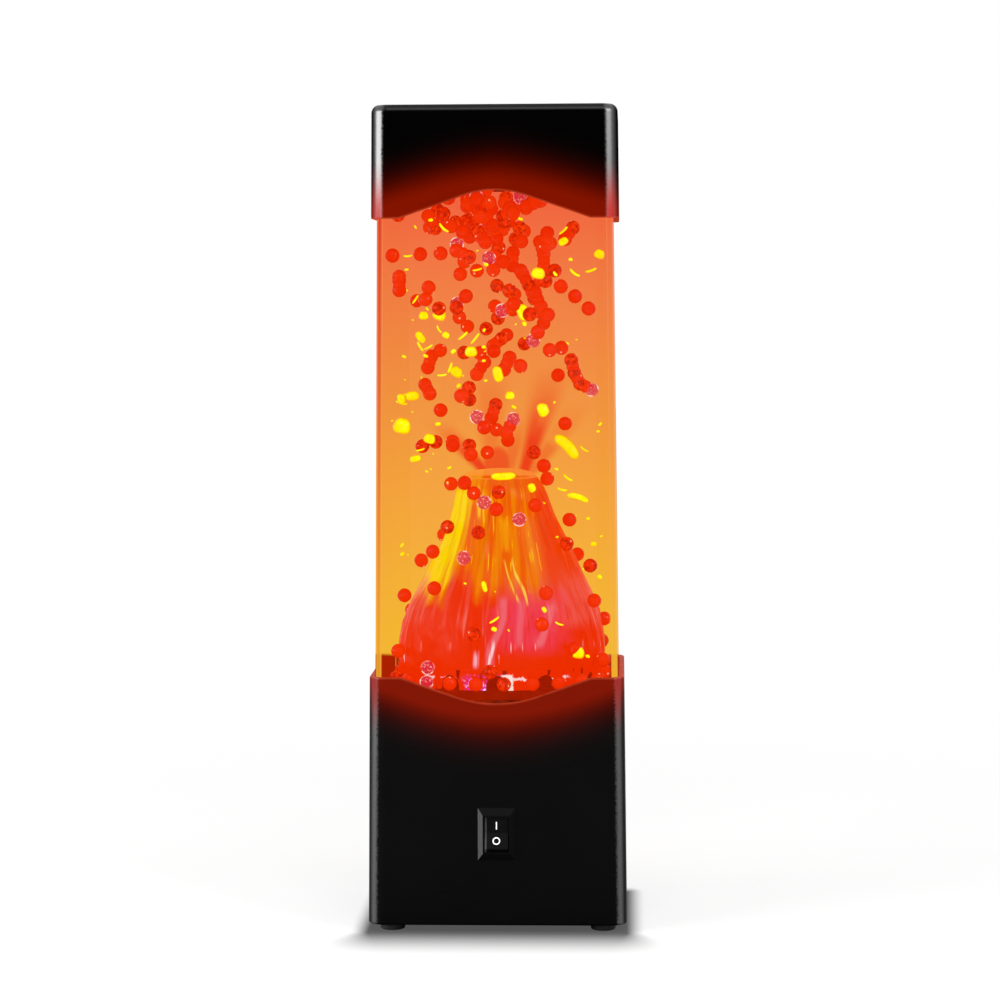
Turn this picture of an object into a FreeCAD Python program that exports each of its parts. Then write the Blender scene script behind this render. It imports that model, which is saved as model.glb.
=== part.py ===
"""Tall motion lamp: a water tank with a volcano, between a black base and a black cap.

All sizes are in millimetres. The origin is on the table under the lamp's centre,
+Z is up and the front, with the rocker switch, faces -Y.
"""
import FreeCAD, Part
import math
import os
from FreeCAD import Vector as V

os.makedirs("parts", exist_ok=True)

# Outside form shared by base, tank and cap
lamp_height = 330.0
bottom_width = 103.8
bottom_depth = 86.0
draft_angle = 0.54
corner_radius = 7.0
least_corner = 0.6
shell_wall = 2.0
base_edge_round = 0.8

# Wavy rims of base and cap
base_rim_z = 102.5
cap_height = 45.0
wave_side_distance = 13.9
wave_slope = 19.2
base_wave_depth = 10.3
cap_wave_rise = 11.0
rim_round = 0.5

# Cap
cap_roof = 2.5
cap_edge_round = 3.2
cap_post_radius = 4.0
cap_post_inset = 15.0
seat_gap = 0.3

# Feet and bottom cover
foot_height = 3.0
foot_radius = 5.0
foot_round = 0.8
foot_edge_distance = 9.5
cover_thickness = 2.5
cover_gap = 0.2
cover_screw_inset = 8.9
cover_screw_y = 16.0
cover_screw_radius = 1.45
cover_screw_depth = 10.0
screw_head_radius = 2.75
screw_head_height = 1.6
screw_gap = 0.1
head_round_share = 0.3
recess_arm_share = 0.6
recess_width_share = 0.12
recess_depth_share = 0.5
cover_hole_radius = 1.7
screw_post_radius = 3.5

# Battery box, cells and door
cell_radius = 7.1
cell_length = 50.0
cell_count = 3
cell_gap = 0.6
cell_nub_radius = 2.7
cell_nub_length = 1.0
contact_room = 3.6
contact_plate = 0.5
contact_width = 10.0
contact_button_radius = 2.2
contact_spring_radius = 3.6
contact_tab_radius = 1.1
contact_tab_length = 1.6
box_wall = 1.6
box_ear_length = 7.0
box_ear_thickness = 2.0
small_screw_radius = 1.0
small_head_radius = 1.9
small_head_height = 1.2
small_screw_bite = 2.0
door_thickness = 2.2
door_gap = 0.4
door_pin_radius = 0.8
door_pin_length = 1.2
pin_clearance = 0.08
catch_height = 1.3
catch_thickness = 1.0
catch_width = 12.0
finger_notch_radius = 7.0
finger_notch_depth = 0.8

# Shelf that carries the tank
shelf_top_z = 78.0
shelf_thickness = 4.0
shelf_window_gap = 1.0
gasket_thickness = 1.0
gasket_width = 6.0

# Drive under the tank
plate_thickness = 3.0
plate_overlap_x = 2.0
plate_overlap_y = 6.5
plate_corner = 4.0
plate_screw_x = 32.0
plate_screw_from_edge = 3.5
plate_screw_radius = 1.4
plate_screw_bite = 3.0
motor_radius = 12.2
motor_height = 12.3
motor_boss_radius = 3.0
motor_boss_height = 1.5
motor_edge_round = 1.0
motor_tab_length = 3.0
motor_tab_width = 1.6
motor_tab_thickness = 0.4
motor_tab_spacing = 14.0
motor_screw_spacing = 16.0
motor_screw_bite = 2.0
shaft_radius = 1.0
shaft_clearance = 0.06
rotor_radius = 13.0
rotor_height = 3.4
rotor_lift = 0.6
magnet_count = 4
magnet_circle = 8.5
magnet_radius = 3.0
magnet_height = 2.4
magnet_gap = 0.05

# Light board
board_width = 68.0
board_depth = 52.0
board_thickness = 1.6
board_corner = 3.0
board_hole_gap = 1.2
board_pin_x = 30.0
board_pin_radius = 1.2
board_pin_rise = 0.8
led_count = 8
led_circle = 21.0
led_size = 5.0
led_height = 1.4
led_lens_radius = 2.0
led_lens_height = 0.3
wire_hole_radius = 2.2

# Tank
tank_gap = 0.3
tank_wall = 2.5
room_over_tank = 19.5
tank_roof = 3.0
tank_floor_thickness = 3.0
glue_gap = 0.1
neck_bore_radius = 5.5
neck_wall = 2.5
neck_height = 4.0
air_gap = 2.0
film_thickness = 0.6
film_margin = 5.0

# Filler plug
plug_clearance = 0.08
plug_stem_length = 6.0
plug_head_overhang = 0.6
plug_head_height = 2.6
plug_round = 0.65
plug_grip_height = 2.6
plug_grip_width = 9.0
plug_grip_thickness = 2.4

# Pump inside the tank
deck_z = 93.0
deck_thickness = 3.0
deck_gap = 0.3
deck_leg_radius = 2.5
deck_leg_inset = 8.25
deck_bore_radius = 12.0
slot_count = 12
slot_width = 2.5
slot_inner_radius = 18.5
slot_outer_radius = 27.0
nozzle_height = 16.0
nozzle_wall = 1.5
nozzle_top_radius = 8.0
nozzle_flange_width = 2.5
nozzle_flange_height = 1.5
axle_radius = 1.0
axle_embed = 2.0
axle_rise = 0.5
floor_boss_radius = 4.0
floor_boss_height = 0.8
impeller_gap = 0.4
impeller_disc_radius = 13.5
impeller_disc_height = 3.6
hub_radius = 3.5
blade_count = 4
blade_radius = 11.0
blade_thickness = 1.2
blade_chord = 5.0
blade_pitch = 35.0
hub_height = 8.0
retainer_radius = 2.5
retainer_height = 0.8
water_film = 0.1

# Volcano: room to the tank's walls, then the cone's height above its foot ring
# and how far it has drawn in there from the foot's half width and half depth
volcano_side_room = 4.15
volcano_front_room = 6.15
volcano_sections = (
    (0.0, 0.0, 0.0),
    (6.0, -0.2, -0.1),
    (20.5, 2.9, 1.9),
    (39.0, 12.3, 7.5),
    (60.0, 21.5, 12.9),
    (77.0, 25.6, 15.7),
)
volcano_wall = 1.6
oval_points = 16
ridge_count = 17
ridge_height = 0.7
ridge_points = 4
foot_ring_height = 8.0
foot_ring_wall = 2.4
arch_count = 10
arch_width = 9.0
arch_height = 6.0

# Beads and flecks that drift in the water
bead_radius = 2.6
bead_space = 0.35
bead_tries = 4200
first_bead_index = 11
string_beads = 4
string_bend_degrees = 55
fleck_count = 46
fleck_least_radius = 0.7
fleck_most_radius = 3.0
fleck_tries = 700
first_fleck_index = 20011

# Where beads gather: across, below the cap's rim, half width and half height of each crowd
bead_crowds = (
    (1.0, 0.0, 13.0, 11.0),
    (0.0, 13.0, 36.0, 30.0),
    (3.0, 70.0, 30.0, 33.0),
    (16.0, 43.0, 11.0, 12.0),
)
crowd_percents = (21, 5, 3, 4)
slope_bead_count = 54
foot_bead_count = 70

# Rocker switch
switch_z = 39.9
bezel_width = 15.0
bezel_length = 21.0
bezel_height = 2.0
bezel_bevel_side = 2.0
bezel_bevel_end = 2.8
switch_body_width = 13.0
switch_body_length = 19.0
switch_body_depth = 12.0
switch_cutout_gap = 0.15
switch_ear = 0.8
rocker_width = 9.2
rocker_radius = 7.8
rocker_depth = 4.0
rocker_tilt = 12.0
rocker_face_height = 3.0
rocker_gap = 0.3
pivot_depth = 2.0
pivot_pin_radius = 1.0
pivot_pin_length = 1.0
mark_width = 0.8
mark_length = 3.6
mark_outer_radius = 1.8
mark_thickness = 0.12
mark_distance = 3.2
terminal_width = 4.8
terminal_thickness = 0.8
terminal_length = 6.5
terminal_spacing = 10.0

# Power inlet on the back
inlet_z = 36.0
inlet_flange_radius = 5.6
inlet_flange_height = 1.5
inlet_round = 0.5
inlet_body_radius = 4.0
inlet_body_length = 12.0
inlet_bore_radius = 2.8
inlet_bore_depth = 9.5
inlet_pin_radius = 1.0
inlet_pin_length = 8.0
inlet_nut_across = 11.0
inlet_nut_height = 2.0
inlet_tab_length = 4.0
inlet_tab_spacing = 4.0

# Wires inside the base
wire_radius = 0.8
wire_bend = 6.0
wire_bend_share = 0.45
wire_stub = 4.0
wire_side_room = 3.0
wire_spacing = 2.1

# How closely an edge's height is compared with a level
level_tolerance = 0.001
rim_tolerance = 0.01

# Levels worked out from the sizes above
cap_rim_z = lamp_height - cap_height
wave_half_span = bottom_width / 2 - wave_side_distance
cover_top_z = foot_height + cover_thickness
shelf_bottom_z = shelf_top_z - shelf_thickness
plate_bottom_z = shelf_bottom_z - plate_thickness
board_top_z = shelf_bottom_z + board_thickness
tank_bottom_z = shelf_top_z + gasket_thickness
floor_top_z = tank_bottom_z + tank_floor_thickness
tank_inset = shell_wall + tank_gap
tank_inner_inset = tank_inset + tank_wall
deck_top_z = deck_z + deck_thickness
cap_ceiling_z = lamp_height - cap_roof
tank_top_z = cap_ceiling_z - room_over_tank
neck_top_z = tank_top_z + neck_height
water_level_z = tank_top_z - tank_roof - air_gap
cone_bottom_z = deck_top_z + foot_ring_height
volcano_top_z = cone_bottom_z + volcano_sections[-1][0]


def half_size(z, inset):
    """Half width and half depth of the drafted outer form at a height, less an inset."""
    lean = math.tan(math.radians(draft_angle)) * (z - foot_height)
    return bottom_width / 2 - lean - inset, bottom_depth / 2 - lean - inset


def rounded_wire(half_x, half_y, radius, z):
    """Rectangle with rounded corners, as four lines and four quarter arcs."""
    edges = []
    for turn in range(4):
        a0 = turn * math.pi / 2
        sign_x = (1, -1, -1, 1)[turn]
        sign_y = (1, 1, -1, -1)[turn]
        centre = V(sign_x * (half_x - radius), sign_y * (half_y - radius), z)
        arc = [centre + V(radius * math.cos(a0 + step), radius * math.sin(a0 + step), 0)
               for step in (0, math.pi / 4, math.pi / 2)]
        if edges:
            edges.append(Part.LineSegment(last, arc[0]).toShape())
        else:
            first = arc[0]
        edges.append(Part.Arc(arc[0], arc[1], arc[2]).toShape())
        last = arc[2]
    edges.append(Part.LineSegment(last, first).toShape())
    return Part.Wire(edges)


def drafted(z0, z1, inset):
    """Solid between two heights whose sides follow the drafted outer form."""
    radius = max(corner_radius - inset, least_corner)
    wires = [rounded_wire(*half_size(z, inset), radius, z) for z in (z0, z1)]
    return Part.makeLoft(wires, True, True)


def slab(width, depth, radius, z0, height):
    """Flat plate with rounded corners, centred on the axis."""
    face = Part.Face(rounded_wire(width / 2, depth / 2, radius, z0))
    return face.extrude(V(0, 0, height))


def rod(x, y, z0, z1, radius):
    """Upright cylinder."""
    return Part.makeCylinder(radius, z1 - z0, V(x, y, z0))


def block(x0, x1, y0, y1, z0, z1):
    """Box between two corners."""
    return Part.makeBox(x1 - x0, y1 - y0, z1 - z0, V(x0, y0, z0))


def four(x, y):
    """The four places at plus and minus x and y."""
    return [(sx * x, sy * y) for sx in (1, -1) for sy in (1, -1)]


def ring_places(count, radius, start=0.0):
    """Places spaced evenly on a circle round the axis."""
    return [(radius * math.cos(start + 2 * math.pi * i / count),
             radius * math.sin(start + 2 * math.pi * i / count)) for i in range(count)]


def joined(shapes):
    """One solid out of shapes that meet."""
    first = shapes[0]
    if len(shapes) > 1:
        first = first.fuse(shapes[1:])
    return first.removeSplitter()


def group(shapes):
    """Several separate solids kept in one sub-part."""
    return Part.makeCompound(shapes)


def on_front(shape, z):
    """Moves a shape made against the plane y = 0, facing -Y, onto the leaning front wall."""
    placed = shape.copy()
    placed.rotate(V(0, 0, 0), V(1, 0, 0), -draft_angle)
    placed.translate(V(0, -half_size(z, 0)[1], z))
    return placed


def on_back(shape, z):
    """Moves a shape made against the plane y = 0, facing +Y, onto the leaning back wall."""
    placed = shape.copy()
    placed.rotate(V(0, 0, 0), V(1, 0, 0), draft_angle)
    placed.translate(V(0, half_size(z, 0)[1], z))
    return placed


def wave_prism(rim_z, depth, side):
    """Prism along Y that cuts a wave into front and back; side -1 dips, +1 rises."""
    slope = math.radians(wave_slope)
    arc_radius = (wave_half_span * math.sin(slope) - depth * math.cos(slope)) / (1 - math.cos(slope))
    touch_x = arc_radius * math.sin(slope)
    touch_z = depth - arc_radius * (1 - math.cos(slope))
    y = -bottom_depth
    over = shell_wall * 4
    points = {
        "left": V(-wave_half_span, y, rim_z),
        "in": V(-touch_x, y, rim_z + side * touch_z),
        "apex": V(0, y, rim_z + side * depth),
        "out": V(touch_x, y, rim_z + side * touch_z),
        "right": V(wave_half_span, y, rim_z),
        "far_right": V(wave_half_span, y, rim_z - side * over),
        "far_left": V(-wave_half_span, y, rim_z - side * over),
    }
    edges = [
        Part.LineSegment(points["left"], points["in"]).toShape(),
        Part.Arc(points["in"], points["apex"], points["out"]).toShape(),
        Part.LineSegment(points["out"], points["right"]).toShape(),
        Part.LineSegment(points["right"], points["far_right"]).toShape(),
        Part.LineSegment(points["far_right"], points["far_left"]).toShape(),
        Part.LineSegment(points["far_left"], points["left"]).toShape(),
    ]
    return Part.Face(Part.Wire(edges)).extrude(V(0, 2 * bottom_depth, 0))


def rim_edges(shape, rim_z, depth, side):
    """Outer edges that run round a wavy rim."""
    low, high = sorted((rim_z, rim_z + side * depth))
    found = []
    for edge in shape.Edges:
        box = edge.BoundBox
        if box.ZMin < low - rim_tolerance or box.ZMax > high + rim_tolerance:
            continue
        middle = edge.valueAt((edge.FirstParameter + edge.LastParameter) / 2)
        half_x, half_y = half_size(middle.z, shell_wall / 2)
        if abs(middle.x) > half_x or abs(middle.y) > half_y:
            found.append(edge)
    return found


def edges_at(shape, z):
    """Edges that lie wholly at one height."""
    return [e for e in shape.Edges if abs(e.BoundBox.ZMin - z) < level_tolerance
            and abs(e.BoundBox.ZMax - z) < level_tolerance]


def screw(x, y, seat_z, length, radius, head_radius, head_height, way):
    """Pan screw with a cross recess; its head lies on seat_z and its shank runs along way."""
    shank = Part.makeCylinder(radius, length, V(x, y, seat_z), V(0, 0, way))
    head = Part.makeCylinder(head_radius, head_height, V(x, y, seat_z), V(0, 0, -way))
    top = seat_z - way * head_height
    head = head.makeFillet(head_height * head_round_share, edges_at(head, top))
    arm = head_radius * recess_arm_share
    half = head_radius * recess_width_share
    z0, z1 = sorted((top, top + way * head_height * recess_depth_share))
    cross = [block(x - arm, x + arm, y - half, y + half, z0, z1),
             block(x - half, x + half, y - arm, y + arm, z0, z1)]
    return head.cut(cross).fuse(shank).removeSplitter()


# Base

def cover_screw_places():
    return four(bottom_width / 2 - cover_screw_inset, cover_screw_y)


def plate_screw_places():
    return four(plate_screw_x, board_depth / 2 + shelf_window_gap + plate_screw_from_edge)


def make_base_shell():
    outer = drafted(foot_height, base_rim_z, 0)
    outer = outer.makeFillet(base_edge_round, edges_at(outer, foot_height))
    below = drafted(foot_height, shelf_bottom_z, shell_wall)
    above = drafted(shelf_top_z, base_rim_z, shell_wall)
    window = slab(board_width + 2 * shelf_window_gap, board_depth + 2 * shelf_window_gap,
                  board_corner + shelf_window_gap, shelf_bottom_z, shelf_thickness)
    shell = outer.cut([below, above, window, wave_prism(base_rim_z, base_wave_depth, -1)])
    shell = shell.makeFillet(rim_round, rim_edges(shell, base_rim_z, base_wave_depth, -1))
    posts = [rod(x, y, cover_top_z, shelf_bottom_z, screw_post_radius)
             for x, y in cover_screw_places()]
    shell = joined([shell] + posts)
    cuts = [rod(x, y, cover_top_z, cover_top_z + cover_screw_depth, cover_screw_radius + screw_gap / 2)
            for x, y in cover_screw_places()]
    cuts += [rod(x, y, shelf_bottom_z, shelf_bottom_z + plate_screw_bite,
                 plate_screw_radius + screw_gap / 2) for x, y in plate_screw_places()]
    half_w = switch_body_width / 2 + switch_cutout_gap
    half_l = switch_body_length / 2 + switch_cutout_gap
    cuts.append(on_front(block(-half_w, half_w, -shell_wall, 2 * shell_wall, -half_l, half_l), switch_z))
    inlet_hole = Part.makeCylinder(inlet_body_radius + screw_gap, 3 * shell_wall,
                                   V(0, -2 * shell_wall, 0), V(0, 1, 0))
    cuts.append(on_back(inlet_hole, inlet_z))
    return shell.cut(cuts)


def make_feet():
    half_x, half_y = half_size(foot_height, foot_edge_distance)
    feet = []
    for x, y in four(half_x, half_y):
        foot = rod(x, y, 0, foot_height, foot_radius)
        feet.append(foot.makeFillet(foot_round, edges_at(foot, 0)))
    return group(feet)


box_inner_x = cell_length + 2 * contact_room
box_inner_y = 2 * cell_radius * cell_count + cell_gap * (cell_count + 1)
box_half_x = box_inner_x / 2 + box_wall
box_half_y = box_inner_y / 2 + box_wall
cell_z = cover_top_z + cell_gap + cell_radius
box_ceiling_z = cell_z + cell_radius + seat_gap
ear_screw_x = box_half_x + box_ear_length / 2
door_half_x = box_inner_x / 2 - door_gap
door_pin_y = box_inner_y / 2 - door_gap - door_thickness / 2
door_pin_z = foot_height + door_thickness / 2


def make_bottom_cover():
    plate = drafted(foot_height, cover_top_z, shell_wall + cover_gap)
    cuts = [block(-box_inner_x / 2, box_inner_x / 2, -box_inner_y / 2, box_inner_y / 2,
                  foot_height, cover_top_z)]
    for x, y in cover_screw_places():
        cuts.append(rod(x, y, foot_height, cover_top_z, cover_hole_radius))
        cuts.append(rod(x, y, foot_height, foot_height + screw_head_height, screw_head_radius + screw_gap))
    for side in (1, -1):
        cuts.append(rod(side * ear_screw_x, 0, cover_top_z - small_screw_bite, cover_top_z,
                        small_screw_radius + screw_gap / 2))
        start = side * box_inner_x / 2
        cuts.append(Part.makeCylinder(door_pin_radius + pin_clearance, door_pin_length + door_gap,
                                      V(start, door_pin_y, door_pin_z), V(side, 0, 0)))
    return plate.cut(cuts)


def make_cover_screws():
    seat = foot_height + screw_head_height
    length = cover_top_z - seat + cover_screw_depth - screw_gap
    return group([screw(x, y, seat, length, cover_screw_radius, screw_head_radius,
                        screw_head_height, 1) for x, y in cover_screw_places()])


def make_battery_box():
    outer = block(-box_half_x, box_half_x, -box_half_y, box_half_y, cover_top_z, box_ceiling_z + box_wall)
    ears = [slab(2 * (box_half_x + box_ear_length), 2 * box_ear_length, box_wall,
                 cover_top_z, box_ear_thickness)]
    body = joined([outer] + ears)
    cuts = [block(-box_inner_x / 2, box_inner_x / 2, -box_inner_y / 2, box_inner_y / 2,
                  cover_top_z, box_ceiling_z)]
    for side in (1, -1):
        cuts.append(rod(side * ear_screw_x, 0, cover_top_z, cover_top_z + box_ear_thickness,
                        small_screw_radius + screw_gap))
        for place in (-1, 1):
            y = place * (2 * cell_radius + cell_gap)
            start = V(side * box_inner_x / 2, y, cell_z)
            cuts.append(Part.makeCylinder(contact_tab_radius + screw_gap, box_wall,
                                          start, V(side, 0, 0)))
    return body.cut(cuts)


def make_battery_box_screws():
    seat = cover_top_z + box_ear_thickness
    length = box_ear_thickness + small_screw_bite - screw_gap
    return group([screw(side * ear_screw_x, 0, seat, length, small_screw_radius,
                        small_head_radius, small_head_height, -1) for side in (1, -1)])


def cell_rows():
    """Place across the box, and the way that each cell's nub points."""
    pitch = 2 * cell_radius + cell_gap
    middle = (cell_count - 1) / 2
    return [((i - middle) * pitch, 1 if i % 2 == 0 else -1) for i in range(cell_count)]


def make_battery_cells():
    cells = []
    for y, way in cell_rows():
        back = V(-way * cell_length / 2, y, cell_z)
        can = Part.makeCylinder(cell_radius, cell_length - cell_nub_length, back, V(way, 0, 0))
        nub_at = back + V(way * (cell_length - cell_nub_length), 0, 0)
        nub = Part.makeCylinder(cell_nub_radius, cell_nub_length, nub_at, V(way, 0, 0))
        cells.append(joined([can, nub]))
    return group(cells)


def make_battery_contacts():
    """A leaf with a button at each nub and a cone at each flat end, with two solder tabs."""
    pieces = []
    wall_x = box_inner_x / 2
    half = contact_width / 2
    reach = contact_room - contact_plate
    outermost = (cell_count - 1) / 2 * (2 * cell_radius + cell_gap)
    for y, way in cell_rows():
        for side in (1, -1):
            x0, x1 = sorted((side * wall_x, side * (wall_x - contact_plate)))
            leaf = block(x0, x1, y - half, y + half, cell_z - half, cell_z + half)
            start = V(side * (wall_x - contact_plate), y, cell_z)
            if side == way:
                tip = Part.makeCylinder(contact_button_radius, reach, start, V(-side, 0, 0))
            else:
                tip = Part.makeCone(contact_spring_radius, contact_button_radius, reach, start,
                                    V(-side, 0, 0))
            parts = [leaf, tip]
            if abs(y) > outermost - cell_gap:
                parts.append(Part.makeCylinder(contact_tab_radius, box_wall + contact_tab_length,
                                               V(side * wall_x, y, cell_z), V(side, 0, 0)))
            pieces.append(joined(parts))
    return group(pieces)


def make_battery_door():
    half_y = box_inner_y / 2 - door_gap
    top = foot_height + door_thickness
    plate = block(-door_half_x, door_half_x, -half_y, door_pin_y, foot_height, top)
    edge = Part.makeCylinder(door_thickness / 2, 2 * door_half_x, V(-door_half_x, door_pin_y, door_pin_z),
                             V(1, 0, 0))
    pin_end = door_half_x + door_gap + door_pin_length
    pin = Part.makeCylinder(door_pin_radius, 2 * pin_end, V(-pin_end, door_pin_y, door_pin_z), V(1, 0, 0))
    catch = block(-catch_width / 2, catch_width / 2, -half_y, -half_y + catch_thickness,
                  top, cover_top_z + catch_height)
    notch = rod(0, -half_y + finger_notch_radius / 2, foot_height, foot_height + finger_notch_depth,
                finger_notch_radius)
    notch = notch.common(block(-finger_notch_radius, finger_notch_radius, -half_y + catch_thickness,
                               half_y, foot_height, top))
    return joined([plate, edge, pin, catch]).cut(notch)


# Rocker switch, made facing -Y with the wall's outer face at y = 0

def frustum(width0, length0, width1, length1, y0, y1):
    """Four-sided frustum along Y between two rectangles."""
    wires = []
    for width, length, y in ((width0, length0, y0), (width1, length1, y1)):
        corners = [V(sx * width / 2, y, sz * length / 2) for sx, sz in ((1, 1), (-1, 1), (-1, -1), (1, -1))]
        wires.append(Part.makePolygon(corners + corners[:1]))
    return Part.makeLoft(wires, True, True)


def make_switch_housing():
    bezel = frustum(bezel_width, bezel_length, bezel_width - 2 * bezel_bevel_side,
                    bezel_length - 2 * bezel_bevel_end, 0, -bezel_height)
    body = block(-switch_body_width / 2, switch_body_width / 2, 0, switch_body_depth,
                 -switch_body_length / 2, switch_body_length / 2)
    ears = []
    for side in (1, -1):
        z = side * switch_body_length / 2
        start = shell_wall + screw_gap
        corners = [V(-rocker_width / 2, start, z), V(-rocker_width / 2, start, z + side * switch_ear),
                   V(-rocker_width / 2, switch_body_depth / 2, z)]
        ears.append(Part.Face(Part.makePolygon(corners + corners[:1])).extrude(V(rocker_width, 0, 0)))
    housing = joined([bezel, body] + ears)
    half_well = rocker_width / 2 + rocker_gap
    well = Part.makeCylinder(rocker_radius + rocker_gap, 2 * half_well, V(-half_well, pivot_depth, 0),
                             V(1, 0, 0))
    pins = Part.makeCylinder(pivot_pin_radius + shaft_clearance, 2 * (half_well + pivot_pin_length),
                             V(-half_well - pivot_pin_length, pivot_depth, 0), V(1, 0, 0))
    return on_front(housing.cut([well, pins]), switch_z)


def rocker_faces():
    """Outline of the rocker's V shaped cap in the plane x = 0, before it is tilted."""
    reach = rocker_radius * 2
    rise = reach * math.tan(math.radians(rocker_tilt))
    face_y = pivot_depth - rocker_face_height
    return [V(0, face_y, 0), V(0, face_y - rise, reach), V(0, pivot_depth + rocker_depth, reach),
            V(0, pivot_depth + rocker_depth, -reach), V(0, face_y - rise, -reach)]


def tilt_rocker(shape):
    """Turns a rocker made in its middle position to the ON side, its top half pressed in."""
    turned = shape.copy()
    turned.rotate(V(0, pivot_depth, 0), V(1, 0, 0), -rocker_tilt)
    return on_front(turned, switch_z)


def make_switch_rocker():
    corners = rocker_faces()
    wedge = Part.Face(Part.makePolygon(corners + corners[:1])).extrude(V(rocker_width, 0, 0))
    wedge.translate(V(-rocker_width / 2, 0, 0))
    drum = Part.makeCylinder(rocker_radius, rocker_width, V(-rocker_width / 2, pivot_depth, 0), V(1, 0, 0))
    half_pin = rocker_width / 2 + rocker_gap + pivot_pin_length - rocker_gap / 2
    pins = Part.makeCylinder(pivot_pin_radius, 2 * half_pin, V(-half_pin, pivot_depth, 0), V(1, 0, 0))
    return tilt_rocker(joined([drum.common(wedge), pins]))


def make_rocker_marks():
    """A bar on the upper half and a ring on the lower half, as thin printed pads."""
    face_y = pivot_depth - rocker_face_height
    bar = block(-mark_width / 2, mark_width / 2, -mark_thickness, 0,
                mark_distance - mark_length / 2, mark_distance + mark_length / 2)
    start = V(0, -mark_thickness, -mark_distance)
    disc = Part.makeCylinder(mark_outer_radius, mark_thickness, start, V(0, 1, 0))
    hole = Part.makeCylinder(mark_outer_radius - mark_width, mark_thickness, start, V(0, 1, 0))
    marks = []
    for shape, way in ((bar, 1), (disc.cut(hole), -1)):
        shape.rotate(V(0, 0, 0), V(1, 0, 0), way * rocker_tilt)
        shape.translate(V(0, face_y, 0))
        marks.append(tilt_rocker(shape))
    return group(marks)


def make_switch_terminals():
    blades = []
    half = terminal_thickness / 2
    for side in (1, -1):
        z = side * terminal_spacing / 2
        blade = block(-terminal_width / 2, terminal_width / 2, switch_body_depth,
                      switch_body_depth + terminal_length, z - half, z + half)
        blades.append(on_front(blade, switch_z))
    return group(blades)


# Power inlet, made facing +Y with the wall's outer face at y = 0

def make_dc_inlet():
    flange = Part.makeCylinder(inlet_flange_radius, inlet_flange_height, V(0, 0, 0), V(0, 1, 0))
    rim = [e for e in flange.Edges if abs(e.BoundBox.YMin - inlet_flange_height) < level_tolerance]
    flange = flange.makeFillet(inlet_round, rim)
    barrel = Part.makeCylinder(inlet_body_radius, inlet_body_length, V(0, 0, 0), V(0, -1, 0))
    bore = Part.makeCylinder(inlet_bore_radius, inlet_bore_depth, V(0, inlet_flange_height, 0), V(0, -1, 0))
    return on_back(joined([flange, barrel]).cut(bore), inlet_z)


def make_dc_inlet_pin():
    """Centre pin, and two solder tabs behind the body."""
    floor_y = inlet_flange_height - inlet_bore_depth
    pin = Part.makeCylinder(inlet_pin_radius, inlet_pin_length, V(0, floor_y, 0), V(0, 1, 0))
    pieces = [pin]
    for side in (1, -1):
        z = side * inlet_tab_spacing / 2
        pieces.append(block(-inlet_pin_radius, inlet_pin_radius, -inlet_body_length - inlet_tab_length,
                            -inlet_body_length, z - terminal_thickness / 2, z + terminal_thickness / 2))
    return group([on_back(piece, inlet_z) for piece in pieces])


def make_dc_inlet_nut():
    start = -shell_wall / math.cos(math.radians(draft_angle)) - screw_gap / 2
    corner_distance = inlet_nut_across / math.sqrt(3)
    corners = [V(x, start, z) for x, z in ring_places(6, corner_distance)]
    nut = Part.Face(Part.makePolygon(corners + corners[:1])).extrude(V(0, -inlet_nut_height, 0))
    bore = Part.makeCylinder(inlet_body_radius + screw_gap / 2, inlet_nut_height, V(0, start, 0),
                             V(0, -1, 0))
    return on_back(nut.cut(bore), inlet_z)


# Drive and light board under the tank

plate_half_y = board_depth / 2 + shelf_window_gap + plate_overlap_y
motor_bottom_z = plate_bottom_z - motor_height
rotor_bottom_z = shelf_bottom_z + rotor_lift
rotor_top_z = rotor_bottom_z + rotor_height
wire_hole_y = board_depth / 2 - wire_hole_radius - board_corner / 2


def make_drive_plate():
    plate = slab(board_width + 2 * (shelf_window_gap + plate_overlap_x), 2 * plate_half_y, plate_corner,
                 plate_bottom_z, plate_thickness)
    pins = [rod(side * board_pin_x, 0, shelf_bottom_z, board_top_z + board_pin_rise, board_pin_radius)
            for side in (1, -1)]
    cuts = [rod(0, 0, plate_bottom_z, shelf_bottom_z, motor_boss_radius + screw_gap)]
    cuts += [rod(x, y, plate_bottom_z, shelf_bottom_z, plate_screw_radius + screw_gap)
             for x, y in plate_screw_places()]
    for side in (1, -1):
        x = side * motor_screw_spacing / 2
        cuts.append(rod(x, 0, plate_bottom_z, shelf_bottom_z, small_screw_radius + screw_gap))
        cuts.append(rod(x, 0, shelf_bottom_z - small_head_height - screw_gap, shelf_bottom_z,
                        small_head_radius + screw_gap))
        cuts.append(rod(0, side * wire_hole_y, plate_bottom_z, shelf_bottom_z, wire_hole_radius))
    return joined([plate] + pins).cut(cuts)


def make_drive_plate_screws():
    length = plate_thickness + plate_screw_bite - screw_gap
    return group([screw(x, y, plate_bottom_z, length, plate_screw_radius, screw_head_radius,
                        screw_head_height, 1) for x, y in plate_screw_places()])


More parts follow.
